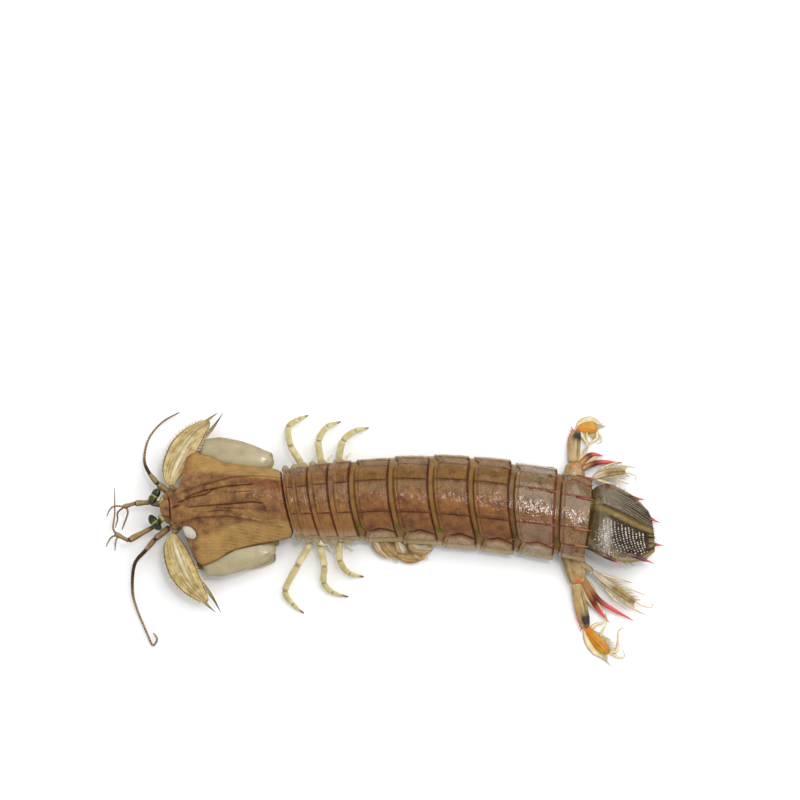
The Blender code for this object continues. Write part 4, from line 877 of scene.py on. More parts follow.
def carapace_place(u, v):
    """Point and marks of the carapace: shape first, then lines, wings and the notch."""
    knots = (0.0, 0.02, 0.04, 0.30, 0.955, 0.975, 1.0)
    xs = (-65.9, -66.0, -65.95, -54.6, -30.4, -30.35, -30.45)
    x = np.interp(v, knots, xs)
    shrink = np.interp(v, knots, (0.02, 0.93, 1.0, 1.0, 1.0, 0.95, 0.02))
    s = over_the_back(u)
    a = np.abs(s)
    half, top = eased(HALF_LINE, x), eased(TOP_LINE, x)
    across = half * s + eased(SKEW_LINE, x) * (1 - s * s)
    from_edge = half * (1 - a)
    on_wings = x < WING_END
    z = shield_height(s, x, half, top) - 0.75 * np.clip(1 - from_edge / 1.2, 0, 1) ** 2 * on_wings
    on_top = u <= TOP_SHARE
    s_under = np.cos(below_the_edge(u) * np.pi)
    thick = 0.5 + 2.4 * ramp(1 - np.abs(s_under), 0.05, 0.5)
    z_under = shield_height(s_under, x, half, top) - thick
    z_under = z_under - 0.75 * (np.abs(s_under) ** 8) * on_wings
    deep = ramp(x, -56.0, -52.0) * ramp(1 - np.abs(s_under), 0.3, 0.6)
    z_under = z_under * (1 - deep) + BELLY_HEIGHT * deep
    across_under = half * s_under + eased(SKEW_LINE, x) * (1 - s_under**2)
    along = (0.2 * s * s + 0.35) * ramp(x, -33.0, -30.35) * on_top
    outer = np.where(on_top, a, np.abs(s_under))
    along = along - 1.2 * ramp(outer, 0.82, 1.0) ** 2 * ramp(x, -33.0, -30.35)
    y = np.where(on_top, across, across_under)
    z = np.where(on_top, z, z_under)
    middle = (top + 7.0) / 2
    points = on_body(x, y * shrink, middle + (z - middle) * shrink, along)
    groove = np.zeros(u.shape)
    line = np.zeros(u.shape)
    for path in GROOVES:
        gap, where = distance_to(points, path)
        width = 0.2 * (0.5 + 0.5 * np.sin(np.pi * np.clip(where, 0.02, 0.98)))
        groove = np.maximum(groove, bell(gap, 0, width * 2.0))
        line = np.maximum(line, bell(gap, 0, width))
    for path in FAINT_LINES:
        gap, where = distance_to(points, path)
        line = np.maximum(line, 0.75 * bell(gap, 0, 0.2) * np.sin(np.pi * np.clip(where, 0.05, 0.95)))
    raised = np.zeros(u.shape)
    for path in SIDE_KEELS:
        gap, where = distance_to(points, path)
        raised = np.maximum(raised, bell(gap, 0, 0.42))
        strength = 0.35 + 0.65 * np.sin(np.pi * where)
        line = np.maximum(line, 0.7 * bell(gap, 0.15, 0.15) * strength)
    px, py = points[:, 0], points[:, 1]
    c, t = math.cos(NOTCH_TURN), math.sin(NOTCH_TURN)
    e_long = ((px - NOTCH[0]) * c + (py - NOTCH[1]) * t) / NOTCH_LONG
    e_wide = (-(px - NOTCH[0]) * t + (py - NOTCH[1]) * c) / NOTCH_WIDE
    ellipse = np.hypot(e_long, e_wide)
    notch = on_top * (ellipse < 1.0)
    rim = bell(ellipse, 1.08, 0.09)
    wing = ramp(a, 0.50, 0.64) * ramp(x, -60.5, -57.0)
    from_keel = np.minimum(*(distance_to(points, path)[0] for path in SIDE_KEELS))
    dashes = 0.6 + 0.4 * np.sin(px * 2 * np.pi / 0.62 + from_keel * 2.4)
    striae = np.sin(from_keel * 2 * np.pi / 0.95) * dashes * np.clip(ripples(px, py, 5, 3.6) + 0.75, 0, 1)
    rear = ramp(x, -30.95, -30.6)
    streaks = ripples(px * 0.07, py, 9, 0.55) * (1 - 0.7 * wing)
    lift = on_top * shrink * (0.6 * raised - 0.42 * groove + 0.09 * wing * striae * (ellipse > 1.2)
                              + 0.2 * ripples(px, py, 7, 5.0) + 0.07 * ripples(px, py, 8, 1.2)
                              - 0.45 * bell(ellipse, 1.0, 0.2) + 0.28 * notch * (1 - ellipse**2)
                              - 0.25 * rear)
    points[:, 2] += lift
    dark = on_top * (1 - notch * 0.9) * highest(
        line, rear, 0.55 * rim, 0.5 * ramp(a, 0.975, 0.995), 0.2 * ramp(streaks, 0.0, 0.6),
        0.5 * wing * ramp(striae, 0.3, 0.9))
    pale = np.where(on_top, 0.8 * wing, 0.9)
    red = 0.4 * bell(py, 16.8, 2.2) * ramp(x, -52, -38) * on_top + 0.25 * ramp(x, -40, -31) * on_top
    return points, marks_of(u, dark=dark, pale=pale * (1 - notch), patch=notch, tip=red * (1 - wing))


carapace = rolled("carapace_shield", 360, 250, carapace_place)
corners = [aimed(on_body(-63.2, side * 4.9 + 0.8, 10.2), on_body(-66.5, side * 6.2 + 0.4, 9.6), 1.3)
           for side in (LEFT, RIGHT)]
corner_spines = planted("corner_spines", spine_form, corners, tints=(-0.5, 0.1, 0, -0.6))
dress(joined("carapace_shield", [carapace, corner_spines]), carapace_shell, "shell", "carapace")

# %% [markdown]
# ## More finishes
# The tail plate, the eyes, the claws and the tail fan each have a finish of their own. On teeth and
# spines the tip mark is pink, and on leaves the patch mark is the strong colour of the leaf.

# %% Finishes of tail, head and limbs
# The tip tone of the tail plate is the painted shade and sky reflection of its right face.
telson_shell = shell_finish("telson_shell", (54, 38, 12), (106, 80, 34), (30, 15, 6),
                            (206, 202, 190), (118, 96, 6), (108, 94, 70),
                            rough=0.3, coat=0.9, coat_rough=0.08, mottle=420, grain=2300, pits=0.35, bump=0.7)
# The pale tone of the teeth is their painted highlight.
tooth_shell = shell_finish("tooth_shell", (92, 34, 30), (120, 54, 44), (64, 20, 24),
                           (226, 214, 202), (150, 148, 52), (226, 112, 112),
                           rough=0.22, coat=0.7, mottle=700, freckle=0.05, bump=0.15)
spine_shell = shell_finish("spine_shell", (140, 92, 44), (170, 120, 66), (84, 20, 22),
                           (206, 188, 146), (176, 110, 44), (206, 66, 70),
                           rough=0.26, coat=0.5, mottle=700, freckle=0.05, bump=0.15)
cream_shell = shell_finish("cream_shell", (126, 92, 42), (176, 146, 88), (30, 32, 44),
                           (206, 188, 146), (206, 76, 26), (208, 74, 74),
                           rough=0.34, coat=0.35, mottle=520, freckle=0.06, bump=0.2, under=0.2)
claw_shell = shell_finish("claw_shell", (144, 130, 98), (170, 156, 122), (90, 64, 28),
                          (196, 188, 160), (188, 156, 44), (206, 196, 150),
                          rough=0.3, coat=0.4, mottle=260, freckle=0.1, bump=0.15, pits=0.06)
limb_shell = shell_finish("limb_shell", (184, 168, 108), (222, 212, 168), (112, 82, 36),
                          (226, 218, 194), (166, 158, 78), (74, 40, 20),
                          rough=0.36, coat=0.3, mottle=600, freckle=0.14, bump=0.2, under=0.2)
feeler_shell = shell_finish("feeler_shell", (116, 86, 48), (156, 126, 78), (50, 28, 20),
                            (196, 174, 130), (138, 116, 54), (104, 82, 64),
                            rough=0.4, coat=0.25, mottle=900, freckle=0.12, bump=0.2)
stalk_shell = shell_finish("stalk_shell", (140, 138, 70), (182, 176, 104), (80, 74, 40),
                           (214, 204, 150), (150, 110, 60), (190, 170, 110),
                           rough=0.32, coat=0.4, mottle=800, bump=0.15)
scale_leaf = leaf_finish("scale_leaf", (158, 134, 76), (196, 176, 122), (66, 36, 14),
                         (196, 108, 26), clear=0.1)
paddle_leaf = leaf_finish("paddle_leaf", (168, 112, 4), (194, 142, 14), (84, 46, 14),
                          (216, 86, 26), clear=0.15, rough=0.32)
blade_leaf = leaf_finish("blade_leaf", (136, 106, 54), (176, 150, 96), (60, 38, 16),
                         (176, 116, 62), clear=0.15)
swimmeret_leaf = leaf_finish("swimmeret_leaf", (130, 98, 46), (178, 150, 88), (104, 54, 14),
                             (150, 88, 26), clear=0.05)
seta_leaf = leaf_finish("seta_leaf", (206, 186, 138), (228, 214, 174), (112, 78, 44),
                        (206, 150, 90), clear=0.3, rough=0.5)

# %% Eye finish
r = Recipe("cornea")
facets = r.cells(7000.0)
depth = r.mix(r.span(r.noise(500.0, 2), 0.4, 0.65), tone(14, 18, 6), tone(58, 64, 18))
depth = r.mix(r.mark("patch"), depth, tone(148, 146, 56))
depth = r.mix(r.mark("dark"), depth, tone(10, 12, 6))
r.feed(depth, "Base Color")
r.feed(r.bump(facets, 0.12, 0.0001), "Normal")
r.fixed(Roughness=0.3, Coat_Weight=0.35, Coat_Roughness=0.05, Specular_IOR_Level=0.2)
cornea = r.material

# %% [markdown]
# ## The tail plate
# A thick shield that lies a little turned, tilted and rolled behind the sixth ring. A crest runs
# down its middle beside an olive band. The left face carries curved rows of small beads, the right
# face rows of fine pits, and the rear edge has six big teeth with rows of little denticles between
# them. The shield is one rolled sheet; teeth, denticles and beads grow from it.

# %% Frame of the tail plate
TELSON_YAW, TELSON_PITCH, TELSON_ROLL, TELSON_SKEW = -11.0, 13.0, 15.0, 0.24
TELSON_FRONT = (63.1, 6.3, 7.4)
TELSON_HALF = ((0.0, 9.6), (2.5, 11.2), (6.0, 12.0), (10.0, 11.9), (14.0, 10.8), (17.0, 9.0), (20.0, 6.4))
TELSON_LENGTH, TELSON_CREST, CREST_SHIFT = 20.0, 4.6, 0.36
TEETH = {"submedian": (14.0, 4.6, 23.7, 3.6, 1.5), "intermediate": (10.0, 9.0, 19.6, 10.2, 1.35),
         "lateral": (3.0, 10.9, 9.4, 12.9, 1.1)}
turns = [Matrix.Rotation(math.radians(angle), 3, axis)
         for angle, axis in ((TELSON_YAW, "Z"), (TELSON_PITCH, "Y"), (-TELSON_ROLL, "X"))]
TELSON_TURN = np.array(turns[0] @ turns[1] @ turns[2])


def on_telson(u, v, w):
    """Points given along, across and above the tail plate, in millimetres."""
    u, v, w = np.broadcast_arrays(*(np.asarray(a, float) for a in (u, v, w)))
    skewed = u - TELSON_SKEW * v * np.sqrt(np.maximum(u, 0.0) / TELSON_LENGTH)
    return np.stack((skewed, v, w), -1) @ TELSON_TURN.T + np.array(TELSON_FRONT)


def from_crest(u, s):
    """Share across, counted from the crest, which starts to the right and comes to the middle."""
    return s - CREST_SHIFT * (1 - np.clip(u / TELSON_LENGTH, 0, 1)) * (1 - s * s)


def telson_height(u, s):
    """Height of the shield's upper face, without its fine relief."""
    t = np.clip(u / TELSON_LENGTH, 0, 1)
    a = np.abs(from_crest(u, s))
    face = 0.35 + TELSON_CREST * (1 - 0.62 * t**1.3) * (1 - a**1.25)
    crest = 0.75 * bell(a, 0.0, 0.05) * np.sin(np.pi * np.clip(t * 1.02 + 0.06, 0, 1)) ** 0.5
    flank = 0.5 * t * (bell(a, 0.38, 0.055) + bell(a, 0.78, 0.05))
    return face + crest + flank


def telson_place(u, v):
    """Point and marks of the shield; shares across are first counted from its middle line."""
    knots = (0.0, 0.015, 0.03, 0.95, 0.97, 0.985, 1.0)
    at = np.interp(v, knots, (-1.9, -2.2, -2.2, 19.8, TELSON_LENGTH, TELSON_LENGTH, 19.9))
    shrink = np.interp(v, knots, (0.02, 0.94, 1.0, 1.0, 0.97, 0.9, 0.02))
    half = eased(TELSON_HALF, at)
    plain = over_the_back(u)
    on_top = u <= TOP_SHARE
    s_low = np.cos(below_the_edge(u) * np.pi) * 0.985
    t = at / TELSON_LENGTH
    low = -0.55 - 1.3 * (1 - s_low**2) * (1 - 0.4 * t)
    w = telson_height(at, plain) - 0.9 * ramp(-at, 0.0, 1.6)
    s = from_crest(at, plain)
    a = np.abs(s)
    left, right = s < 0, s >= 0
    prelateral = bell(at, 5.2, 2.0) * ramp(a, 0.7, 0.95)
    ridges = np.sin(at * 2 * np.pi / 1.25) * prelateral * left
    front = 1 - ramp(at, 1.5, 3.4)
    striae = np.sin((s * half + 0.16 * at) * 2 * np.pi / 1.15)
    striae = striae * right * ramp(at, 6, 12) * ramp(0.8 - a, 0.0, 0.1)
    relief = (0.16 * ridges + 0.1 * striae + 0.14 * ripples(at, s * half, 71, 3.4) * (1 - front)
              + 0.06 * ripples(at, s * half, 72, 1.1) - 0.25 * bell(at, 3.6, 0.5) * ramp(a, 0.1, 0.2)
              + 0.2 * bell(a, 0.97, 0.03))
    w = np.where(on_top, w + relief * shrink, low)
    across = half * np.where(on_top, plain, s_low)
    points = on_telson(at, across * shrink, 0.5 + (w - 0.5) * shrink)
    crest_line = bell(s, 0.012, 0.026) * ramp(at, 0.6, 2.0)
    under_crest = bell(s, -0.235, 0.05) * left * ramp(at, 3.5, 5.5) * 0.75
    tooth_lines = highest(bell(a, 0.38, 0.04) * ramp(t, 0.45, 0.8), bell(a, 0.80, 0.05) * ramp(t, 0.35, 0.6))
    band = bell(s, -0.115, 0.09) * ramp(at, 1.4, 3.2)
    field = ramp(-s, 0.2, 0.26) * ramp(0.84 + s, 0.0, 0.1) * ramp(at, 4.5, 7.0) * (1 - ramp(at, 17.2, 18.6))
    rim = np.clip(ramp(np.abs(plain), 0.87, 0.95) + ramp(at, 17.8, 19.0), 0, 1) * ramp(at, 3.0, 5.0)
    dark = highest(crest_line, under_crest, tooth_lines, 0.55 * front * ramp(a, 0.1, 0.3),
                   0.72 * field, 0.85 * ramp(striae, -0.2, 0.8) * right)
    patch = highest(band, 0.9 * rim, 0.55 * front, 0.4 * ramp(at, 14, 17) * (1 - field)) * (1 - crest_line)
    # shine is a painted highlight: a pink-white line across the front of the left face. The pale patch behind
    # it, in the next term, is a painted sheen on the pitted field.
    shine = 0.7 * bell(at - 1.2 * a, 1.3, 0.4) * left * bell(a, 0.5, 0.3)
    pale = highest(0.35 * rim + shine + 0.6 * prelateral * left * ramp(ridges, 0.1, 0.8),
                   0.5 * bell(at, 4.4, 1.7) * left * bell(a, 0.62, 0.26))
    # The right face gets the tip tone, grey-violet: painted shade of the face turned from the light, with a
    # painted reflection of the sky.
    shade_and_reflection = 0.95 * right * ramp(s, 0.02, 0.1) * (1 - ramp(a, 0.86, 0.94)) * (1 - front)
    return points, marks_of(u, dark=dark * on_top, patch=patch * on_top, pale=pale * on_top,
                            tip=shade_and_reflection * on_top)


shield = rolled("telson_shield", 300, 220, telson_place)

# %% [markdown]
# ### Teeth, denticles and beads
# The teeth are limbs that end in sharp pink points, a little swollen near their roots. A bead is a
# low dome: a small sphere cut in half, planted in rows that start at the dark band under the crest
# and curve rearward.

# %% Teeth of the tail plate
def tooth_paint(share, angle, run):
    # The top line of each tooth is paler: a painted highlight.
    top_highlight = bell(np.sin(angle), 1.0, 0.12)
    return marks_of(share, dark=0.85 * bell(share, 0.4, 0.26), patch=0.8 * ramp(-np.sin(angle), 0.1, 0.6),
                    tip=ramp(share, 0.62, 0.8), pale=0.5 * top_highlight * bell(share, 0.4, 0.25))


teeth = []
for kind, (u0, v0, u1, v1, radius) in TEETH.items():
    for side in (LEFT, RIGHT):
        lift = 0.45 if kind == "submedian" else 0.15
        middle = (u0 + (u1 - u0) * 0.5, side * (v0 + (v1 - v0) * 0.4), lift * 0.5 + 0.15)
        path = [on_telson(u0, side * v0, lift), on_telson(*middle), on_telson(u1, side * v1, 0.05)]
        halves = (*(radius * share for share in (0.5, 0.72, 0.66, 0.3)), 0.05)
        teeth.append(limb(f"tooth_{kind}_{side}", path, halves, columns=24, rows=44, blunt=(1.0, 0.12),
                          paint=tooth_paint))
denticles = []
draw = random.Random(11)
for side in (LEFT, RIGHT):
    for k in range(4):
        v = side * (0.55 + 0.78 * k)
        tip = on_telson(21.5 + draw.uniform(-0.1, 0.25), v * 0.96, -0.25)
        denticles.append(aimed(on_telson(18.8, v, -0.2), tip, 0.72, thick=0.6))
    for k in range(9):
        edge, v = 19.3 - 0.28 * k, 5.2 + 0.52 * k
        tip = on_telson(edge + 1.1 - 0.05 * k, side * (v + 0.05), -0.3)
        denticles.append(aimed(on_telson(edge - 1.6, side * (v - 0.1), -0.25), tip, 0.66, thick=0.55))
    for (u0, v0), (u1, v1), width in (((10.6, 10.7), (13.2, 12.4), 0.9), ((9.4, 11.2), (11.2, 12.7), 0.7)):
        denticles.append(aimed(on_telson(u0, side * v0, -0.2), on_telson(u1, side * v1, -0.3), width))
green = planted("telson_denticles", spine_form, denticles, tints=(-0.6, 0.0, 0.95, -0.75))
dress(joined("telson_teeth", [*teeth, green]), tooth_shell, "tail_plate")

# %% Beads of the left face
bpy.ops.object.select_all(action="DESELECT")
bpy.ops.mesh.primitive_uv_sphere_add(segments=10, ring_count=8, radius=0.5)
bpy.ops.object.mode_set(mode="EDIT")
bpy.ops.mesh.select_all(action="SELECT")
bpy.ops.mesh.bisect(plane_co=(0, 0, -0.1), plane_no=(0, 0, 1), clear_inner=True, use_fill=True)
bpy.ops.object.mode_set(mode="OBJECT")
bead_form = template_from("bead_form", by_height(pale=(0.0, 0.25)))
beads, tints = [], []
ROWS, ROW_PITCH, BEADS_IN_ROW, BEAD_PITCH, LOOSE_BEADS = 12, 1.17, 18, 0.47, 170
for row in range(ROWS):
    u0 = 3.0 + row * ROW_PITCH
    first = 3.0 + 1.5 * (1 - u0 / 16)
    for k in range(BEADS_IN_ROW):
        v = first + BEAD_PITCH * k + draw.uniform(-0.04, 0.04)
        u = u0 + 0.085 * max(v - first, 0) ** 1.85 + draw.uniform(-0.06, 0.06)
        half = float(eased(TELSON_HALF, u))
        if u > 17.6 or v > half * 0.84 or draw.random() < 0.03:
            continue
        s = -v / half
        for _ in range(4):
            s = -v / half + CREST_SHIFT * (1 - u / TELSON_LENGTH) * (1 - s * s)
        w = float(telson_height(u, s))
        size = 0.62 * draw.uniform(0.7, 1.15) * (1 - 0.2 * v / half)
        beads.append(aimed(on_telson(u, half * s, w - 0.06), on_telson(u, half * s, w + 0.42 * size), size))
        tints.append((0.0, draw.uniform(0.5, 1.0), 0.0, 0.0))
for _ in range(LOOSE_BEADS):
    u, v = draw.uniform(1.0, 6.5), draw.uniform(3.4, 10.0)
    w = float(telson_height(u, -v / float(eased(TELSON_HALF, u))))
    beads.append(aimed(on_telson(u, -v, w - 0.05), on_telson(u, -v, w + 0.12), draw.uniform(0.2, 0.42)))
    tints.append((0, draw.uniform(0.3, 1.0), 0, 0))
bead_rows = planted("telson_beads", bead_form, beads, tints)
dress(joined("telson_shield", [shield, bead_rows]), telson_shell, "tail_plate", "telson")

# %% [markdown]
# ## Setae
# A fringe of setae stands in small clumps: several hairs start apart along the edge of a leaf and
# lean toward one shared point. Each hair is a copy of the seta form, thin and slightly curved.

# %% Fringe tool
def lined(path, halves, count):
    """Points, directions ahead and across, and half widths at even shares of a leaf's path."""
    share = np.linspace(0, 1, count + 1)
    line = flowing(path, share)
    ahead, across, _ = headings(line, True)
    return line, ahead, across, evenly_spread(halves, share)


def fringe(name, path, halves, start, stop, side_sign, length, clumps, lean, seed, hairs=9, width=0.13,
           fall=0.5):
    """Clumped setae along one edge of a leaf, between two shares of its path."""
    draw = random.Random(seed)
    count = 200
    line, ahead, across, half = lined(path, halves, count)

    def reached(i, reach):
        """End of a hair that stands straight out of the edge and leans along it."""
        out = half[i] + reach * (1 - 0.5 * lean)
        return line[i] + across[i] * side_sign * out + ahead[i] * reach * lean

    places, tints = [], []
    for c in range(clumps):
        middle = start + (stop - start) * (c + 0.5) / clumps
        reach = length * draw.uniform(0.82, 1.12) * (0.72 + 0.28 * math.sin(math.pi * (c + 0.5) / clumps))
        shared = reached(int(middle * count), reach)
        shared[2] = max(shared[2] - fall, 0.25)
        for h in range(hairs):
            t = middle + (stop - start) / clumps * (0.95 * (h + 0.5) / hairs - 0.48)
            j = int(min(max(t, 0.0), 1.0) * count)
            root = line[j] + across[j] * side_sign * (half[j] - 0.25) + UP * draw.uniform(-0.12, 0.12)
            tip = reached(j, reach) * 0.35 + shared * 0.65
            tip = tip + np.array([draw.uniform(-0.12, 0.12) for _ in range(3)])
            tip = root + (tip - root) * draw.uniform(0.8, 1.08)
            tip[2] = max(tip[2], 0.12)
            root[2] = max(root[2], 0.1)
            places.append(aimed(root, tip, width * draw.uniform(0.8, 1.2), draw.uniform(0, 6.28)))
            tints.append((draw.uniform(-0.1, 0.15), draw.uniform(0, 0.5), draw.uniform(0, 0.2), 0))
    return clad(planted(name, seta_form, places, tints), seta_leaf)


# %% [markdown]
# ## The tail fan
# Each tail limb has a thick cream base that ends in a long and a short spine with pink tips. The
# outer branch carries movable pink spines along its outer edge and, at its end, a bright oval
# paddle; the inner branch is a narrow curved blade. Both are fringed.

# %% Places of the tail fan
UROPOD = {
    LEFT: {
        "base": ((57.2, 0.8, 2.9), (57.9, -5.6, 2.8), (59.4, -13.6, 2.4)),
        "long": ((59.8, -10.0, 2.2), (65.9, -18.5, 1.7), (76.6, -24.9, 0.9)),
        "short": ((60.6, -12.0, 2.1), (64.6, -20.0, 1.5), (69.0, -25.4, 0.9)),
        "outer": ((58.7, -12.8, 2.1), (59.6, -18.0, 1.8), (60.7, -23.0, 1.35), (61.7, -27.1, 0.9)),
        "paddle": ((61.6, -26.4, 0.7), (64.0, -29.9, 0.36), (66.2, -32.3, 0.36), (68.6, -34.8, 0.36)),
        "inner": ((63.7, -9.6, 3.6), (67.6, -12.8, 3.4), (72.0, -16.0, 3.0), (76.8, -19.3, 2.4)),
    },
    RIGHT: {
        "base": ((59.2, 12.0, 2.0), (58.9, 17.6, 1.9), (58.7, 24.6, 1.8)),
        "long": ((59.6, 21.6, 1.8), (66.0, 24.4, 1.5), (73.9, 24.4, 0.9)),
        "short": ((59.8, 23.0, 1.8), (64.0, 26.8, 1.4), (68.2, 26.6, 0.9)),
        "outer": ((58.5, 24.2, 1.9), (58.8, 28.2, 1.65), (59.0, 31.6, 1.3), (59.9, 34.8, 0.95)),
        "paddle": ((60.0, 34.9, 0.7), (62.4, 35.7, 0.36), (64.2, 35.6, 0.36), (66.4, 34.7, 0.36)),
        "inner": ((64.3, 18.9, 3.0), (66.4, 20.2, 3.3), (70.4, 21.2, 3.3), (74.6, 21.4, 3.1)),
    },
}
# Locks beside a leaf: stations as share of its path, distance out past its edge and height, and width
STRIP = ((0.0, -0.5, 0.5), (0.3, 0.2, 0.4), (0.65, 0.75, 0.35), (0.95, 1.1, 0.35), (1.3, 1.2, 0.3))
CURLS = (
    (((0.12, -0.3, 0.6), (0.10, 1.6, 0.9), (0.16, 4.2, 1.2), (0.02, 6.2, 1.2)), 0.75),
    (((0.45, -0.2, 0.6), (0.34, 1.8, 0.9), (0.22, 4.4, 1.2), (0.0, 6.6, 1.4)), 0.5),
    (((0.98, -0.4, 0.5), (1.10, 1.4, 0.7), (0.92, 3.6, 1.0), (0.72, 5.2, 1.2), (0.78, 7.2, 1.2)), 0.65),
    (((1.0, -0.6, 0.5), (1.28, 0.6, 0.5), (1.36, 2.0, 0.6), (1.18, 3.2, 0.8)), 0.45),
)
FANS = (
    (-1, ((0.1, -0.4, 3.1), (0.3, 0.7, 3.0), (0.56, 2.2, 2.6), (0.78, 3.6, 2.2)), 0.85),
    (-1, ((0.4, -0.4, 2.9), (0.62, 0.6, 2.7), (0.86, 1.9, 2.3), (1.1, 3.0, 1.9)), 0.6),
    (1, ((0.3, -0.3, 3.0), (0.5, 0.7, 2.6), (0.72, 1.6, 2.2), (0.95, 2.4, 1.7)), 0.8),
    (1, ((0.6, -0.3, 2.7), (0.85, 0.6, 2.3), (1.1, 0.9, 2.0), (1.3, 0.4, 1.6)), 0.7),
    (-1, ((0.96, -0.6, 2.4), (1.15, -0.2, 2.2), (1.3, 0.8, 2.2), (1.28, 2.2, 2.4)), 0.45),
)


def strip_paint(share, s, run):
    return marks_of(share, dark=highest(0.8 * ramp(np.abs(s), 0.6, 0.95), 0.7 * ramp(share, 0.55, 1.0)))


def strip_beside(name, path, halves, way, stations, widths):
    """A thin horny lock whose stations are given beside a leaf's edge."""
    count = 100
    line, ahead, across, half = lined(path, halves, count)
    length = steps_of(path).sum()
    points = []
    for t, out, z in stations:
        i = int(min(t, 1.0) * count)
        p = line[i] + across[i] * way * (half[i] + out) + ahead[i] * max(t - 1.0, 0.0) * length
        points.append(np.array((p[0], p[1], z)))
    return clad(leaf(name, points, widths, 0.42, 14, 60, strip_paint, 0.3, veins=(0.0,), vein_height=0.1),
                seta_leaf)


def spine_paint(share, angle, run):
    return marks_of(share, patch=0.35 * (1 - ramp(share, 0.0, 0.3)), tip=ramp(share, 0.35, 0.7),
                    dark=0.8 * bell(share, 0.45, 0.13) + 0.3 * bell(np.cos(angle), 0.95, 0.2) * (1 - share))


def base_paint(share, angle, run):
    streak = 0.5 + 0.5 * np.sin(angle * 9 + 2.2 * np.sin(share * 7))
    upper = bell(np.cos(angle), 0.0, 0.3) * ramp(np.sin(angle), -0.2, 0.4)
    return marks_of(share, pale=0.45 * streak * bell(share, 0.5, 0.45),
                    dark=0.3 * bell(np.cos(angle), 0.9, 0.2), patch=bell(share, 0.94, 0.03) * upper)


def outer_paint(sign):
    def paint(share, angle, run):
        edge = np.cos(angle) * sign
        stripe = bell(edge, -0.45, 0.09) * ramp(share, 0.1, 0.25)
        # light is a painted highlight stripe along the stem, beside its thin dark line.
        light = bell(edge, -0.2, 0.1) * bell(share, 0.5, 0.3)
        return marks_of(share, pale=highest(0.3 * (1 - share), 0.9 * light),
                        tip=0.85 * ramp(edge, 0.72, 0.93) * ramp(share, 0.45, 0.7),
                        dark=highest(bell(share, 0.8, 0.17) * ramp(-edge, -0.5, -0.1), 0.7 * stripe))
    return paint


def paddle_paint(sign):
    def paint(share, s, run):
        edge = s * sign
        lines = 0.5 * highest(bell(edge, 0.25, 0.03), bell(edge, -0.2, 0.03))
        return marks_of(share, dark=highest(lines * bell(share, 0.5, 0.35), 0.6 * ramp(np.abs(s), 0.93, 1.0)),
                        patch=0.6 * (1 - ramp(share, 0.0, 0.25)) + 0.25 * bell(edge, 0.0, 0.4))
    return paint


def blade_paint(share, s, run):
    far = ramp(share, 0.35, 0.6)
    return marks_of(share, dark=highest(0.85 * ramp(np.abs(s), 0.8, 0.95), 0.45 * far * bell(s, 0.0, 0.5)),
                    pale=0.55 * (1 - far) * (1 - ramp(np.abs(s), 0.75, 0.9)),
                    patch=0.3 * bell(share, 0.2, 0.2))


def web_paint(share, s, run):
    return marks_of(share, pale=0.9 - 0.3 * ramp(np.abs(s), 0.7, 1.0))


def scaled(size, *shares):
    """Half widths of a lock from its size, down to a hair's width at its end."""
    return (*(size * share for share in shares), 0.06)


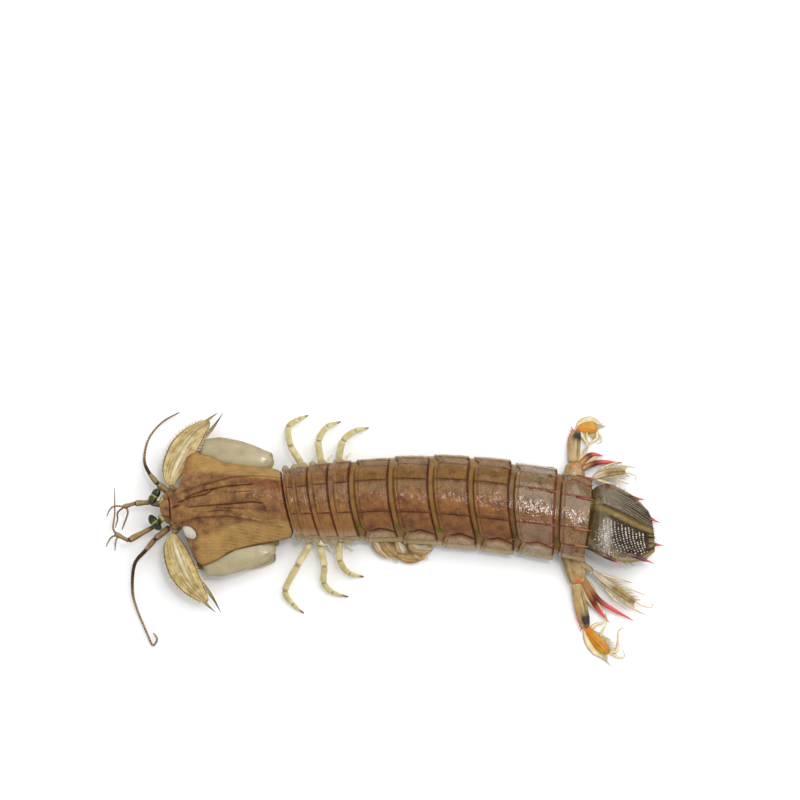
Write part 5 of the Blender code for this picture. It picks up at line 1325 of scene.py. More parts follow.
# %% The limbs of the tail fan
STEM_STEPS, PINK_SPINES = 60, 8
PADDLE_HALF, INNER_HALF = (0.9, 1.75, 2.0, 0.9), (0.7, 1.05, 1.2, 0.8)
for side, label in SIDES:
    sign = -side
    base_line, long_line, short_line, outer_line, paddle_line, inner_line = (
        np.array(path) for path in UROPOD[side].values())
    a, b, c = short_line
    parts = [clad(limb(f"uropod_{label}_base", base_line, (3.4, 3.8, 3.7, 3.2, 2.3),
                       (1.6, 1.7, 1.7, 1.6, 1.3), 48, 60, shape=0.75, level=True, blunt=(0.8, 1.1),
                       paint=base_paint), cream_shell),
             clad(limb(f"uropod_{label}_long", long_line, (1.0, 0.92, 0.82, 0.6, 0.07),
                       (1.0, 0.9, 0.76, 0.5, 0.07), 28, 60, level=True, blunt=(0.9, 0.15),
                       paint=spine_paint), spine_shell),
             clad(limb(f"uropod_{label}_short", short_line, (1.05, 1.0, 0.85, 0.5, 0.07),
                       (0.85, 0.8, 0.68, 0.42, 0.07), 28, 50, level=True, blunt=(0.8, 0.15),
                       paint=spine_paint), spine_shell),
             clad(leaf(f"uropod_{label}_web",
                       [a + np.array((-0.6, 0, 0.2)), (a + b) / 2, b * 0.55 + c * 0.45],
                       (1.2, 2.3, 2.0, 0.7), 0.5, 32, 40, web_paint, 0.7), cream_shell)]
    dress(joined(f"uropod_{label}_base", parts), None, "fan", f"uropod_{label}")

    outer = limb(f"exopod_{label}_stem", outer_line, (1.5, 1.85, 2.05, 1.95, 1.2),
                 (0.95, 0.98, 0.92, 0.84, 0.7), 40, STEM_STEPS, shape=0.8, level=True, blunt=(0.9, 0.7),
                 paint=outer_paint(sign))
    line = flowing(outer_line, np.linspace(0, 1, STEM_STEPS + 1))
    ahead, across, _ = headings(line, True)
    places = []
    for k in range(PINK_SPINES):
        i = int((0.18 + 0.112 * k) * STEM_STEPS)
        root = line[i] + across[i] * sign * 1.15
        far = line[i] + across[i] * sign * (2.5 + 0.12 * k) + ahead[i] * (1.25 + 0.2 * k)
        places.append(aimed(root, root + (far - root) * 0.5, 0.6, thick=0.5))
    pink = planted(f"exopod_{label}_spines", spine_form, places, tints=(-0.75, 0, 0, 0.6))
    dress(joined(f"exopod_{label}_stem", [outer, pink]), cream_shell, "fan", f"exopod_{label}")

    blade = f"exopod_blade_{label}"
    parts = [clad(leaf(blade + "_leaf", paddle_line, PADDLE_HALF, 0.95, 56, 80, paddle_paint(sign), 1.0,
                       veins=(-0.35, 0.1), vein_height=0.1), paddle_leaf),
             fringe(blade + "_hair", paddle_line, PADDLE_HALF, 0.16, 1.0, -sign, 3.6, 9, 0.8,
                    31 + side, hairs=6),
             fringe(blade + "_down", paddle_line, PADDLE_HALF, 0.45, 1.0, sign, 2.8, 6, 1.1,
                    35 + side),
             strip_beside(blade + "_strip", paddle_line, PADDLE_HALF, sign, STRIP,
                          (0.5, 1.1, 1.0, 0.7, 0.25, 0.05))]
    for k, (stations, width) in enumerate(CURLS):
        parts.append(strip_beside(f"{blade}_curl_{k}", paddle_line, PADDLE_HALF, -sign, stations,
                                  scaled(width, 0.6, 0.75, 0.5, 0.3)))
    dress(joined(blade + "_leaf", parts), None, "fan", blade)

    blade = f"endopod_{label}"
    root, first = base_line[1], inner_line[0]
    parts = [clad(leaf(blade + "_leaf", inner_line, INNER_HALF, 1.0, 48, 80, blade_paint, 0.9,
                       veins=(0.0,), vein_height=0.35), blade_leaf)]
    for k, way in enumerate((sign, -sign)):
        parts.append(fringe(f"{blade}_hair_{k}", inner_line, INNER_HALF, 0.2, 1.0, way, 2.8, 9, 0.95,
                            41 + side + k, hairs=14, width=0.1))
    parts.append(clad(limb(blade + "_stalk", [root, first * 0.6 + root * 0.4, first], (0.9, 1.0, 0.95, 0.8),
                           columns=20, rows=30, blunt=(0.4, 0.4), paint=base_paint), blade_leaf))
    for k, (way, stations, width) in enumerate(FANS):
        parts.append(strip_beside(f"{blade}_fan_{k}", inner_line, INNER_HALF, way * sign, stations,
                                  scaled(width, 0.3, 0.55, 0.5, 0.3)))
    dress(joined(blade + "_leaf", parts), None, "fan", blade)

# %% [markdown]
# ## Beak plate and head
# The beak plate is a small rounded tongue hinged in front of the carapace, with a low keel. The
# head block below carries the upper lip and a pair of jaws, all hidden from above.

# %% Beak plate
def beak_place(u, v):
    """Point and marks of the beak plate."""
    x = np.interp(v, (0, 0.04, 0.96, 1), (-69.15, -69.2, -66.4, -66.35))
    shrink = np.sqrt(np.clip(1 - np.abs(v * 2 - 1) ** 12, 0.0004, 1))
    half = eased(((-69.2, 1.25), (-68.6, 2.0), (-67.6, 2.55), (-66.35, 2.65)), x) * shrink
    top = eased(((-69.2, 11.1), (-68.6, 11.3), (-67.6, 11.5), (-66.35, 11.65)), x)
    s = over_the_back(u)
    on_top = u <= TOP_SHARE
    under = np.cos(below_the_edge(u) * np.pi) * 0.96
    z = np.where(on_top, top + 0.28 * (1 - s * s) + 0.14 * bell(s, 0, 0.14), top - 0.7)
    z = top - 0.3 + (z - top + 0.3) * (0.25 + 0.75 * shrink)
    points = on_body(x, np.where(on_top, half * s, half * under) + 0.2, z)
    rim = ramp(np.abs(s), 0.86, 0.97)
    return points, marks_of(u, dark=(0.35 * bell(s, 0.0, 0.08) + 0.5 * rim) * on_top, pale=0.1 * (1 - rim))


dress(rolled("rostral_plate_tongue", 96, 60, beak_place), carapace_shell, "shell", "rostral_plate")

# %% Head block, lip and jaws
def block_paint(share, angle, run):
    return marks_of(share, pale=0.4 * ramp(-np.sin(angle), 0.2, 0.6), dark=0.5 * bell(share, 0.3, 0.03))


def jaw_paint(share, angle, run):
    return marks_of(share, dark=ramp(share, 0.7, 0.95))


def lobe_paint(share, angle, run):
    return marks_of(share, dark=0.5 * bell(share, 0.45, 0.06), pale=0.4 * ramp(share, 0.5, 0.9))


def beside_line(middle, side, *stations):
    """Path from stations of (x, out, z), whose out is counted from a middle line to one side."""
    return [on_body(x, side * out + middle, z) for x, out, z in stations]


parts = [
    clad(limb("head_block", beside_line(0.4, 0, (-67.3, 0, 7.5), (-66.2, 0, 7.45), (-63.0, 0, 7.45),
                                        (-59.0, 0, 7.75), (-55.1, 0, 7.9)),
              (2.8, 3.7, 4.5, 4.9, 4.9), (2.0, 2.25, 2.55, 3.1, 3.2), 72, 80, shape=0.82, level=True,
              blunt=(0.8, 0.5), paint=block_paint), carapace_shell),
    clad(limb("head_lip", beside_line(0.3, 0, (-61.2, 0, 5.0), (-59.2, 0, 4.5), (-57.4, 0, 4.6)),
              (0.8, 1.3, 1.4, 1.0), (0.7, 1.0, 1.1, 0.8), 28, 30, blunt=(0.7, 0.7)), limb_shell)]
for side in (LEFT, RIGHT):
    path = beside_line(0.3, side, (-58.6, 3.3, 5.2), (-57.3, 2.5, 4.5), (-56.5, 1.5, 4.3))
    parts.append(clad(limb(f"head_jaw_{side}", path, (1.1, 1.05, 0.9, 0.4), columns=20, rows=30,
                           paint=jaw_paint), limb_shell))
for side in (LEFT, RIGHT):
    path = beside_line(0.4, side, (-64.6, 3.6, 9.7), (-66.6, 3.4, 9.5), (-68.3, 2.4, 9.1))
    parts.append(clad(limb(f"head_lobe_{side}", path, (1.7, 1.75, 1.4, 0.9), (1.0, 1.1, 1.0, 0.8), 32, 36,
                           level=True, blunt=(0.6, 0.9), paint=lobe_paint), carapace_shell))
dress(joined("head_block", parts), None, "shell", "head")

# %% [markdown]
# ## Eyes
# Each eye sits across the end of a short stalk. The cornea is long and drawn in at its middle, so
# that it reads as two lobes with a paler band between them. It is rolled round its long axis, and
# the side that faces the stalk is flat.

# %% Eyes
EYES = {LEFT: ((-67.9, 7.0, 8.75), (-70.7, 4.8, 9.4), (-0.84, 0.54, 0.1)),
        RIGHT: ((-67.9, 10.9, 8.75), (-71.0, 12.7, 9.4), (-0.88, -0.48, 0.1))}
EYE_LONG, EYE_SHORT = 2.9, 1.75


def stalk_paint(share, angle, run):
    return marks_of(share, dark=0.5 * bell(share, 0.3, 0.05), patch=0.6 * ramp(share, 0.75, 0.95),
                    pale=0.5 * bell(share, 0.6, 0.15))


for side, label in SIDES:
    start, centre, long_axis = (np.array(v, float) for v in EYES[side])
    facing = (centre - start) / np.linalg.norm(centre - start)
    long_axis = long_axis - facing * long_axis.dot(facing)
    long_axis /= np.linalg.norm(long_axis)
    third = np.cross(facing, long_axis)

    def eye_place(u, v):
        t = -np.cos(np.pi * v)
        radius = EYE_SHORT * np.sqrt(np.clip(1 - t * t, 0, 1)) * (1 - 0.15 * bell(t, 0.0, 0.2))
        angle = 2 * np.pi * u
        out = np.cos(angle) * radius
        out = np.where(out < 0, out * 0.62, out)
        points = (centre + long_axis * (EYE_LONG * t)[:, None] + facing * out[:, None]
                  + third * (np.sin(angle) * radius)[:, None])
        return points, marks_of(u, patch=0.9 * bell(t, 0.0, 0.1), dark=0.7 * bell(np.abs(t), 0.16, 0.05)
                                + ramp(-np.cos(angle), 0.5, 0.8))

    dress(rolled(f"eye_{label}_cornea", 96, 72, eye_place), cornea, "eye", f"eye_{label}")
    end = centre - facing * 1.55
    stalk = limb(f"eyestalk_{label}_stem", [start, start + (end - start) * 0.5, end],
                 (0.85, 1.0, 1.15, 1.3, 1.45), columns=40, rows=50, joints=(0.3,), blunt=(0.4, 0.5),
                 paint=stalk_paint)
    dress(stalk, stalk_shell, "pale_limb", f"eyestalk_{label}")

# %% [markdown]
# ## Feelers
# The first feelers have three thick joints and three whips each, the second feelers one long whip.
# A whip is made of very many short rings, so its tube ripples and carries dark bands.

# %% Feeler tools and first feelers
ANTENNULE = {
    LEFT: ((-67.9, 7.3, 6.4), (-71.8, 3.6, 6.6), (-79.2, -0.6, 7.2), (-83.4, 1.6, 7.4)),
    RIGHT: ((-67.9, 10.3, 6.5), (-72.7, 11.3, 6.8), (-77.5, 10.9, 7.2), (-81.0, 9.8, 7.4)),
}
ANTENNULE_WHIPS = {
    LEFT: (((-83.0, 1.4, 7.4), (-84.0, 3.4, 7.2), (-83.8, 8.0, 6.0), (-84.3, 16.1, 4.2)),
           ((-82.6, 1.1, 7.3), (-84.6, 0.3, 7.0), (-86.2, -2.4, 6.2)),
           ((-82.2, 0.9, 7.4), (-83.0, -0.8, 7.6), (-83.2, -3.8, 7.4))),
    RIGHT: (((-80.2, 9.9, 7.4), (-79.6, 8.0, 7.0), (-81.0, 4.8, 4.6), (-81.7, 3.0, 4.0)),
            ((-80.6, 9.9, 7.3), (-82.9, 8.3, 5.6), (-83.2, 6.2, 3.8), (-84.0, 3.7, 3.0)),
            ((-80.6, 9.9, 7.4), (-83.4, 9.9, 8.4), (-84.9, 9.0, 8.2), (-86.1, 6.9, 6.9))),
}


def banded(pitch, shade=0.0):
    """Thin dark rings at a pitch along a whip, whose first part can be darker."""
    def paint(share, angle, run):
        wave = np.cos(2 * np.pi * run / pitch)
        dark = highest(0.6 * ramp(wave, 0.2, 0.8), shade * (1 - ramp(share, 0.3, 0.5)))
        return marks_of(share, dark=dark, tip=0.6 * ramp(share, 0.5, 1.0), pale=0.4 * ramp(-wave, 0.2, 0.8))
    return paint


def segment_paint(share, angle, run):
    ends = highest(bell(share, 0.04, 0.08), bell(share, 0.95, 0.08))
    return marks_of(share, dark=0.8 * ends + 0.5 * bell(np.cos(angle * 2 + 1), 0.9, 0.3),
                    pale=0.4 * bell(share, 0.82, 0.07), patch=0.4 * bell(share, 0.4, 0.3))


def whip(name, path, radii, pitch, step=0.12, shade=0.0):
    length = steps_of(path).sum()
    rows = int(min(max(length / step, 60), 420))
    return limb(name, path, radii, columns=12, rows=rows, ring=0.09, rings=int(length / pitch),
                blunt=(0.2, 0.1), paint=banded(pitch * 2.0, shade))


for side, label in SIDES:
    stations = np.array(ANTENNULE[side])
    parts = []
    for k, (r0, r1) in enumerate(((0.95, 1.02), (0.78, 0.95), (0.62, 0.76))):
        a, b = stations[k], stations[k + 1]
        back = (a - b) / np.linalg.norm(a - b) * (0.3 if k else 0.0)
        path = [a + back, a + (b - a) * 0.3, a + (b - a) * 0.75, b]
        parts.append(limb(f"antennule_{label}_joint_{k}", path,
                          (r0 * 0.8, r0, r0 * 0.96, r1, r1 * 1.02, r1 * 0.8), rows=44, blunt=(0.35, 0.35),
                          paint=segment_paint))
    for k, path in enumerate(ANTENNULE_WHIPS[side]):
        parts.append(whip(f"antennule_{label}_whip_{k}", path, (0.33, 0.3, 0.26, 0.12), pitch=0.4, step=0.1))
    dress(joined(f"antennule_{label}_feelers", parts), feeler_shell, "feeler", f"antennule_{label}")

# %% [markdown]
# ## Second feelers and their scales
# A broad leaf, the scale, lies back beside each second feeler. It is thin and ochre with a dark line
# along its middle and an orange vein at its inner edge, and it ends in two dark points.

# %% Second feelers
ANTENNA = {LEFT: ((-66.6, 3.6, 6.9), (-71.2, 0.2, 5.2), (-74.2, -3.4, 4.6), (-77.6, -7.6, 3.6),
                  (-78.3, -15.1, 1.9), (-77.0, -20.8, 1.2), (-73.5, -28.9, 0.7), (-71.8, -32.2, 0.6),
                  (-70.5, -30.4, 0.6), (-71.7, -28.4, 0.6)),
           RIGHT: ((-66.9, 14.2, 6.9), (-70.6, 17.0, 6.2), (-73.4, 20.4, 5.4), (-75.3, 25.0, 4.0),
                   (-74.3, 31.8, 2.4), (-70.4, 37.2, 1.2), (-65.0, 40.6, 0.6))}
SCALE = {LEFT: ((-65.7, 1.6, 8.2), (-64.9, -3.2, 8.1), (-62.7, -9.0, 7.7), (-60.1, -13.4, 6.9),
                (-57.2, -16.8, 5.9), (-54.8, -19.2, 4.9)),
         RIGHT: ((-66.9, 16.3, 8.2), (-65.8, 21.3, 8.1), (-63.3, 27.0, 7.7), (-60.5, 31.4, 6.9),
                 (-57.6, 34.7, 5.9), (-55.2, 37.0, 4.9))}
SCALE_HALF = (1.1, 3.4, 4.2, 3.6, 2.2, 1.0)


def scale_paint(side):
    def paint(share, s, run):
        inner = s * side
        a = np.abs(s)
        places = (-0.72, -0.45, 0.25, 0.5)
        veins = sum(bell(inner, at * (1 - 0.35 * share) + 0.1 * np.sin(share * 5), 0.03) for at in places)
        line = highest(bell(inner, -0.05, 0.045), 0.75 * np.minimum(veins, 1.0), ramp(a, 0.88, 0.95))
        fork = bell(inner, 0.86 - 0.2 * share, 0.05) * ramp(share, 0.04, 0.2) * (1 - ramp(share, 0.75, 0.9))
        return marks_of(share, dark=highest(line * ramp(share, 0.03, 0.12), 0.75 * ramp(share, 0.93, 1.0)),
                        patch=0.6 * fork, pale=0.35 * bell(inner, 0.1, 0.3) * bell(share, 0.35, 0.3))
    return paint


def point_paint(share, angle, run):
    return marks_of(share, dark=0.3 + 0.5 * share, tip=ramp(share, 0.5, 1.0))


WHIP_RADII = (0.7, 0.62, 0.54, 0.42, 0.34, 0.3, 0.28, 0.16)
# Dark points of a scale: root back and inward from its end, reach past the end and out, width
POINTS = ((2.4, -0.8, 4.0, 0.35, 0.55), (8.2, 3.0, 5.2, -0.9, 0.75))
for side, label in SIDES:
    path = np.array(ANTENNA[side])
    parts = []
    for k, (r0, r1) in enumerate(((1.0, 1.02), (0.86, 0.72))):
        a, b = path[k], path[k + 1]
        parts.append(limb(f"antenna_{label}_joint_{k}", [a, (a + b) / 2, b],
                          (r0 * 0.85, r0, r0, r1, r1 * 0.9), rows=40, blunt=(0.4, 0.4), paint=segment_paint))
    parts.append(whip(f"antenna_{label}_whip", path[1:], WHIP_RADII, 0.5, shade=0.85))
    inward = np.array((5.6, -2.6 * side, 1.5))
    parts.append(limb(f"antenna_{label}_socket", [path[0] + inward, path[0] + inward * 0.5,
                                                  path[0] + np.array((0.2, 0, 0.5))],
                      (1.5, 2.2, 2.3, 1.5), (1.0, 1.4, 1.5, 1.2), 36, 40, level=True, blunt=(0.8, 0.9),
                      paint=segment_paint))
    dress(joined(f"antenna_{label}_feeler", parts), feeler_shell, "feeler", f"antenna_{label}")

    name, leaf_path = f"antennal_scale_{label}", np.array(SCALE[side])
    parts = [clad(leaf(name + "_leaf", leaf_path, SCALE_HALF, 0.8, 72, 110, scale_paint(side), 1.2,
                       veins=(0.05 * side, 0.42 * side, -0.86 * side), vein_height=0.16, wave=0.08),
                  scale_leaf)]
    end = leaf_path[-1]
    run = end - leaf_path[-3]
    run /= np.linalg.norm(run)
    out = np.array((run[1], -run[0], 0)) * -side
    for k, (back, inset, reach, aside, width) in enumerate(POINTS):
        root = end - run * back + out * inset * -0.85
        tip = end + run * reach + out * aside - UP * 1.2
        parts.append(clad(limb(f"{name}_point_{k}", [root, (root + tip) / 2 - out * inset * 0.2, tip],
                               (width, width, width * 0.75, width * 0.4, 0.05), (0.3, 0.3, 0.26, 0.16, 0.05),
                               16, 36, level=True, blunt=(0.3, 0.1), paint=point_paint), scale_leaf))
    for k, way in enumerate((1, -1)):
        parts.append(fringe(f"{name}_hair_{k}", leaf_path, SCALE_HALF, 0.12, 0.9, way, 1.5, 17, 0.75,
                            51 + side + k, hairs=8, width=0.1, fall=0.2))
    low = np.array((*leaf_path[0][:2], 7.1))
    hinge_line = [path[0] + np.array((1.2, -0.8 * side, 0.6)), low + np.array((0.9, -1.2 * side, 0.3)),
                  low + np.array((0.2, 0, 0))]
    parts.append(clad(limb(f"{name}_hinge", hinge_line, (1.7, 1.6, 1.2, 0.8), (1.1, 1.0, 0.8, 0.6), 28, 36,
                           level=True, blunt=(0.7, 0.7), paint=segment_paint), feeler_shell))
    dress(joined(f"{name}_leaf", parts), None, "scale_leaf", name)

# %% [markdown]
# ## Claws
# The claw arms lie folded under the wings of the carapace and show as broad smooth khaki lobes
# with a yellow rim. Wrist, palm and the spined finger are folded below them.

# %% Claws
CLAW = {
    LEFT: {"hip": (-36.4, 2.6, 5.5), "arm": ((-35.2, -0.4, 4.9), (-38.0, -3.3, 5.6), (-44.5, -5.2, 5.8),
                                             (-51.0, -6.7, 5.5), (-56.6, -7.6, 4.9)),
           "knee": (-58.6, -7.9, 4.0), "palm_end": (-34.2, -4.4)},
    RIGHT: {"hip": (-37.0, 18.6, 5.5), "arm": ((-35.9, 21.4, 4.9), (-38.9, 24.1, 5.6), (-45.6, 25.9, 5.8),
                                              (-52.3, 27.0, 5.5), (-58.2, 27.3, 4.9)),
            "knee": (-60.2, 27.3, 4.0), "palm_end": (-35.4, 25.2)},
}
ARM_HALF = (2.4, 3.7, 4.7, 4.9, 3.6)
ARM_THICK = (0.9, 1.35, 1.6, 1.6, 1.2)
PALM_HEIGHT, FINGER_HEIGHT = 1.33, 1.3
COMB_SPINES, FINGER_TEETH = 9, 5


def arm_paint(side):
    def paint(share, angle, run):
        outer = -np.cos(angle) * side
        rim = bell(outer, 0.5 + 0.25 * share, 0.1) * ramp(np.sin(angle), 0.0, 0.3)
        return marks_of(share, patch=highest(rim * 0.9, ramp(1 - share, 0.9, 0.96)),
                        pale=0.4 * bell(outer, 0.1, 0.4) * bell(share, 0.5, 0.35))
    return paint


def hook_paint(share, angle, run):
    return marks_of(share, patch=0.9 * ramp(share, 0.2, 0.5))


def plain_paint(share, angle, run):
    return marks_of(share, dark=0.4 * highest(bell(share, 0.03, 0.04), bell(share, 0.97, 0.04)),
                    pale=0.3 * bell(share, 0.5, 0.3))


for side, label in SIDES:
    claw = CLAW[side]
    hip, arm = np.array(claw["hip"]), np.array(claw["arm"])
    lobe = limb(f"claw_arm_{label}_lobe", arm, ARM_HALF, ARM_THICK, 72, 110, shape=0.8, level=True,
                blunt=(2.2, 1.8), paint=arm_paint(side))
    root = limb(f"claw_arm_{label}_root", [hip + UP * 0.1, hip - UP * 1.1, arm[0] + (arm[1] - arm[0]) * 0.35],
                (1.5, 1.7, 1.5, 1.1), columns=28, rows=36, blunt=(0.4, 0.5), paint=plain_paint)
    hook_root = arm[0] + (arm[0] - arm[1]) * 0.05
    hook_tip = hook_root + np.array((1.1, side * -1.5, 0.6))
    bend = (hook_root + hook_tip) / 2 + np.array((0.4, 0, 0.2))
    hook = limb(f"claw_arm_{label}_hook", [hook_root, bend, hook_tip], (0.9, 0.8, 0.55, 0.1), columns=20,
                rows=30, blunt=(0.5, 0.1), paint=hook_paint)
    dress(joined(f"claw_arm_{label}_lobe", [lobe, root, hook]), claw_shell, "claw_shell", f"claw_arm_{label}")
    knee = np.array(claw["knee"])
    palm_end = np.array((*claw["palm_end"], PALM_HEIGHT))
    back = palm_end - knee
    back[2] = 0
    back /= np.linalg.norm(back)
    out = np.array((back[1], -back[0], 0)) * -side
    low = knee - back * 2.3 - UP * 2.4
    path = [knee - back * 0.35 + UP, knee - back * 2.0, low - UP * 0.2]
    wrist = limb(f"claw_wrist_{label}_joint", path, (1.3, 1.7, 1.9, 1.6, 1.2), columns=36, rows=44,
                 blunt=(0.7, 0.6), paint=plain_paint)
    dress(wrist, claw_shell, "claw_shell", f"claw_wrist_{label}")
    start = low + back * 1.95
    start[2] = PALM_HEIGHT

    def between(t, aside):
        return start + (palm_end - start) * t + out * aside

    path = [start, between(0.2, 0.5), between(0.5, 0.9), between(0.8, 0.7), palm_end]
    palm = limb(f"claw_palm_{label}_hand", path, (1.1, 2.3, 2.7, 2.6, 2.0), (1.2, 1.5, 1.55, 1.5, 1.25),
                48, 90, shape=0.6, level=True, blunt=(1.0, 1.3),
                paint=plain_paint)
    places = []
    for k in range(COMB_SPINES):
        t = 0.18 + 0.075 * k
        p = between(t, 0.9 * math.sin(math.pi * t)) - out * 1.95 + UP * 0.2
        places.append(aimed(p, p - out * (0.9 if k % 2 else 0.55), 0.5))
    comb = planted(f"claw_palm_{label}_comb", spine_form, places, tints=(-0.3, 0.3, 0, -0.4))
    dress(joined(f"claw_palm_{label}_hand", [palm, comb]), claw_shell, "claw_shell", f"claw_palm_{label}")
    hinge = palm_end - out * 1.4 + back * 0.3
    tip = start - out * 3.4 + back * 1.6
    finger = [hinge + back - out * 1.6, hinge - out * 2.9 - back,
              hinge + (tip - hinge) * 0.35 - out * 3.1, hinge + (tip - hinge) * 0.7 - out * 2.7,
              tip - out * 0.7]
    finger = [np.array((p[0], p[1], FINGER_HEIGHT)) for p in finger]
    rod = limb(f"claw_finger_{label}_rod", finger, (0.9, 1.05, 0.85, 0.7, 0.12), columns=24, rows=80,
               blunt=(0.7, 0.15), paint=plain_paint)
    curve = flowing(finger, np.linspace(0, 1, 41))
    places = []
    for k in range(FINGER_TEETH):
        p = curve[int((0.26 + 0.15 * k) * 40)]
        length = 2.0 - 0.22 * k
        places.append(aimed(p - out * 0.1, p + out * length - back * 0.5 * length, 0.8))
    spikes = planted(f"claw_finger_{label}_spikes", spine_form, places, tints=(-0.4, 0.2, 0, -0.3))
    dress(joined(f"claw_finger_{label}_rod", [rod, spikes]), claw_shell, "claw_shell", f"claw_finger_{label}")

# %% [markdown]
# ## Mouth limbs
# Two pairs of slender limbs lie folded under the head. Each ends in a round flat hand with a small
# hook.

# %% Mouth limbs
MAXILLIPEDS = {"maxilliped_3": (-41.5, 5.6, -50.2, 5.9, 2.3), "maxilliped_4": (-45.2, 2.7, -56.0, 2.0, 1.6)}


def mouth_hook_paint(share, angle, run):
    return marks_of(share, tip=share)


for kind, (x, across, reach, inner, height) in MAXILLIPEDS.items():
    for side, label in SIDES:
        name = f"{kind}_{label}"
        wrist = on_body(reach + 1.4, side * (inner + 0.3), height + 0.5)
        palm = on_body(reach - 1.6, side * inner, height)
        hook = palm + (palm - wrist) * 0.35
        elbow = on_body(x - 4.6, side * (across + 0.9), 4.0)
        parts = [
            limb(name + "_arm", [on_body(x + 0.6, side * across, 4.2), elbow, wrist],
                 (0.8, 0.95, 0.8, 0.75, 0.6), columns=24, joints=(0.3, 0.5, 0.8), paint=plain_paint),
            limb(name + "_root", [on_body(x, side * across, 5.4), on_body(x, side * across, 4.0)],
                 (1.2, 1.15, 0.95), columns=24, rows=24, blunt=(0.3, 0.5)),
            limb(name + "_hand", [wrist + np.array((0.5, 0, 0.1)), (wrist + palm) / 2, palm,
                                  palm + (palm - wrist) * 0.5], (0.6, 1.3, 1.25, 0.6), (0.6, 1.1, 1.05, 0.5),
                 28, 40, level=True, blunt=(0.5, 0.8), paint=plain_paint),
            limb(name + "_hook", [hook, hook + np.array((-0.8, side * -0.2, -0.7)),
                                  hook + np.array((0.4, side * -0.3, -1.15))], (0.38, 0.34, 0.26, 0.08),
                 columns=14, rows=30, blunt=(0.2, 0.1), paint=mouth_hook_paint)]
        dress(joined(name + "_arm", parts), limb_shell, "pale_limb", name)

# %% [markdown]
# ## Walking legs
# Three pairs of slender legs. Each starts in a whitish swollen base under the edge of its ring,
# bends at its joints, and ends in a brown tip. A thin second branch leaves near the base.

# %% Walking legs
LEGS = {
    ("leg_1", LEFT): ((-24.0, -6.3), ((-23.6, -0.9, 4.1), (-27.2, -8.1, 5.2), (-31.0, -15.6, 3.2),
                                      (-28.8, -19.6, 1.5), (-25.3, -22.5, 0.5))),
    ("leg_2", LEFT): ((-18.6, -6.6), ((-20.0, -2.0, 4.1), (-19.0, -8.4, 5.0), (-19.2, -13.1, 2.8),
                                      (-16.6, -16.0, 1.3), (-11.5, -17.4, 0.5))),
    ("leg_3", LEFT): ((-13.0, -6.9), ((-14.2, -0.6, 4.1), (-14.2, -6.6, 4.9), (-11.4, -10.2, 2.2),
                                      (-6.8, -11.2, 0.5))),
    ("leg_1", RIGHT): ((-24.4, 6.3), ((-26.4, 23.2, 4.1), (-29.6, 29.0, 5.2), (-30.6, 35.4, 2.8),
                                      (-27.6, 38.2, 1.2), (-24.4, 39.6, 0.5))),
    ("leg_2", RIGHT): ((-18.9, 6.6), ((-20.4, 24.4, 4.1), (-21.0, 30.6, 5.0), (-18.6, 35.6, 2.4),
                                      (-14.2, 37.6, 0.5))),
    ("leg_3", RIGHT): ((-13.2, 6.9), ((-14.6, 25.2, 4.1), (-13.4, 30.8, 4.6), (-9.8, 34.4, 2.0),
                                      (-5.4, 35.6, 0.5))),
}


def leg_paint(joints):
    def paint(share, angle, run):
        rings = highest(*(bell(share, joint, 0.012) for joint in joints))
        soft = highest(*(bell(share, joint - 0.02, 0.03) for joint in joints))
        return marks_of(share, dark=0.6 * rings + 0.2 * bell(np.sin(angle), 1.0, 0.3),
                        pale=highest(1 - ramp(share, 0.1, 0.26), 0.6 * soft),
                        tip=ramp(share, 0.9, 0.97), patch=0.4 * bell(share, 0.6, 0.15))
    return paint


def branch_paint(share, angle, run):
    return marks_of(share, pale=0.8, tip=ramp(share, 0.9, 1.0))


for (kind, side), ((x, across), path) in LEGS.items():
    name = f"{kind}_{dict(SIDES)[side]}"
    root, start = on_body(x, across, 5.45), on_body(x, across, 4.2)
    stations = np.array([start - np.array((0, side * 0.8, 0)), *path])
    joints = [k / (len(stations) - 1) for k in range(1, len(stations) - 1)]
    swollen = np.array((*stations[1][:2], 4.9))
    twig = stations[1] + (start - stations[1]) * 0.35
    parts = [
        limb(name + "_shaft", stations, (1.1, 1.1, 1.08, 1.02, 0.95, 0.82, 0.16),
             (1.0, 0.98, 0.95, 0.8, 0.7, 0.5, 0.16), 28, 170, joints=joints, blunt=(0.5, 0.3),
             paint=leg_paint(joints)),
        limb(name + "_base", [root, (start + swollen) / 2, swollen], (1.5, 2.0, 2.1, 1.7), rows=34,
             blunt=(0.3, 1.2), paint=evenly(pale=1.0)),
        limb(name + "_branch", [twig, twig + np.array((2.0, side * 2.6, -1.4)),
                                twig + np.array((3.6, side * 4.6, -2.9))], (0.48, 0.45, 0.36, 0.12),
             columns=16, rows=50, joints=(0.5,), blunt=(0.3, 0.15), paint=branch_paint)]
    dress(joined(name + "_shaft", parts), limb_shell, "pale_limb", name)

# %% [markdown]
# ## Swimmerets
# Under each ring of the abdomen hangs a pair of swimmerets: a short stem, two leaves fringed with
# setae, and gill threads at the root. Two on the left side spread out past the back.

# %% Swimmerets
SPREAD = {"pleopod_1_L": (4.6, -5.9, 1.3), "pleopod_2_L": (11.4, -6.0, 1.3)}
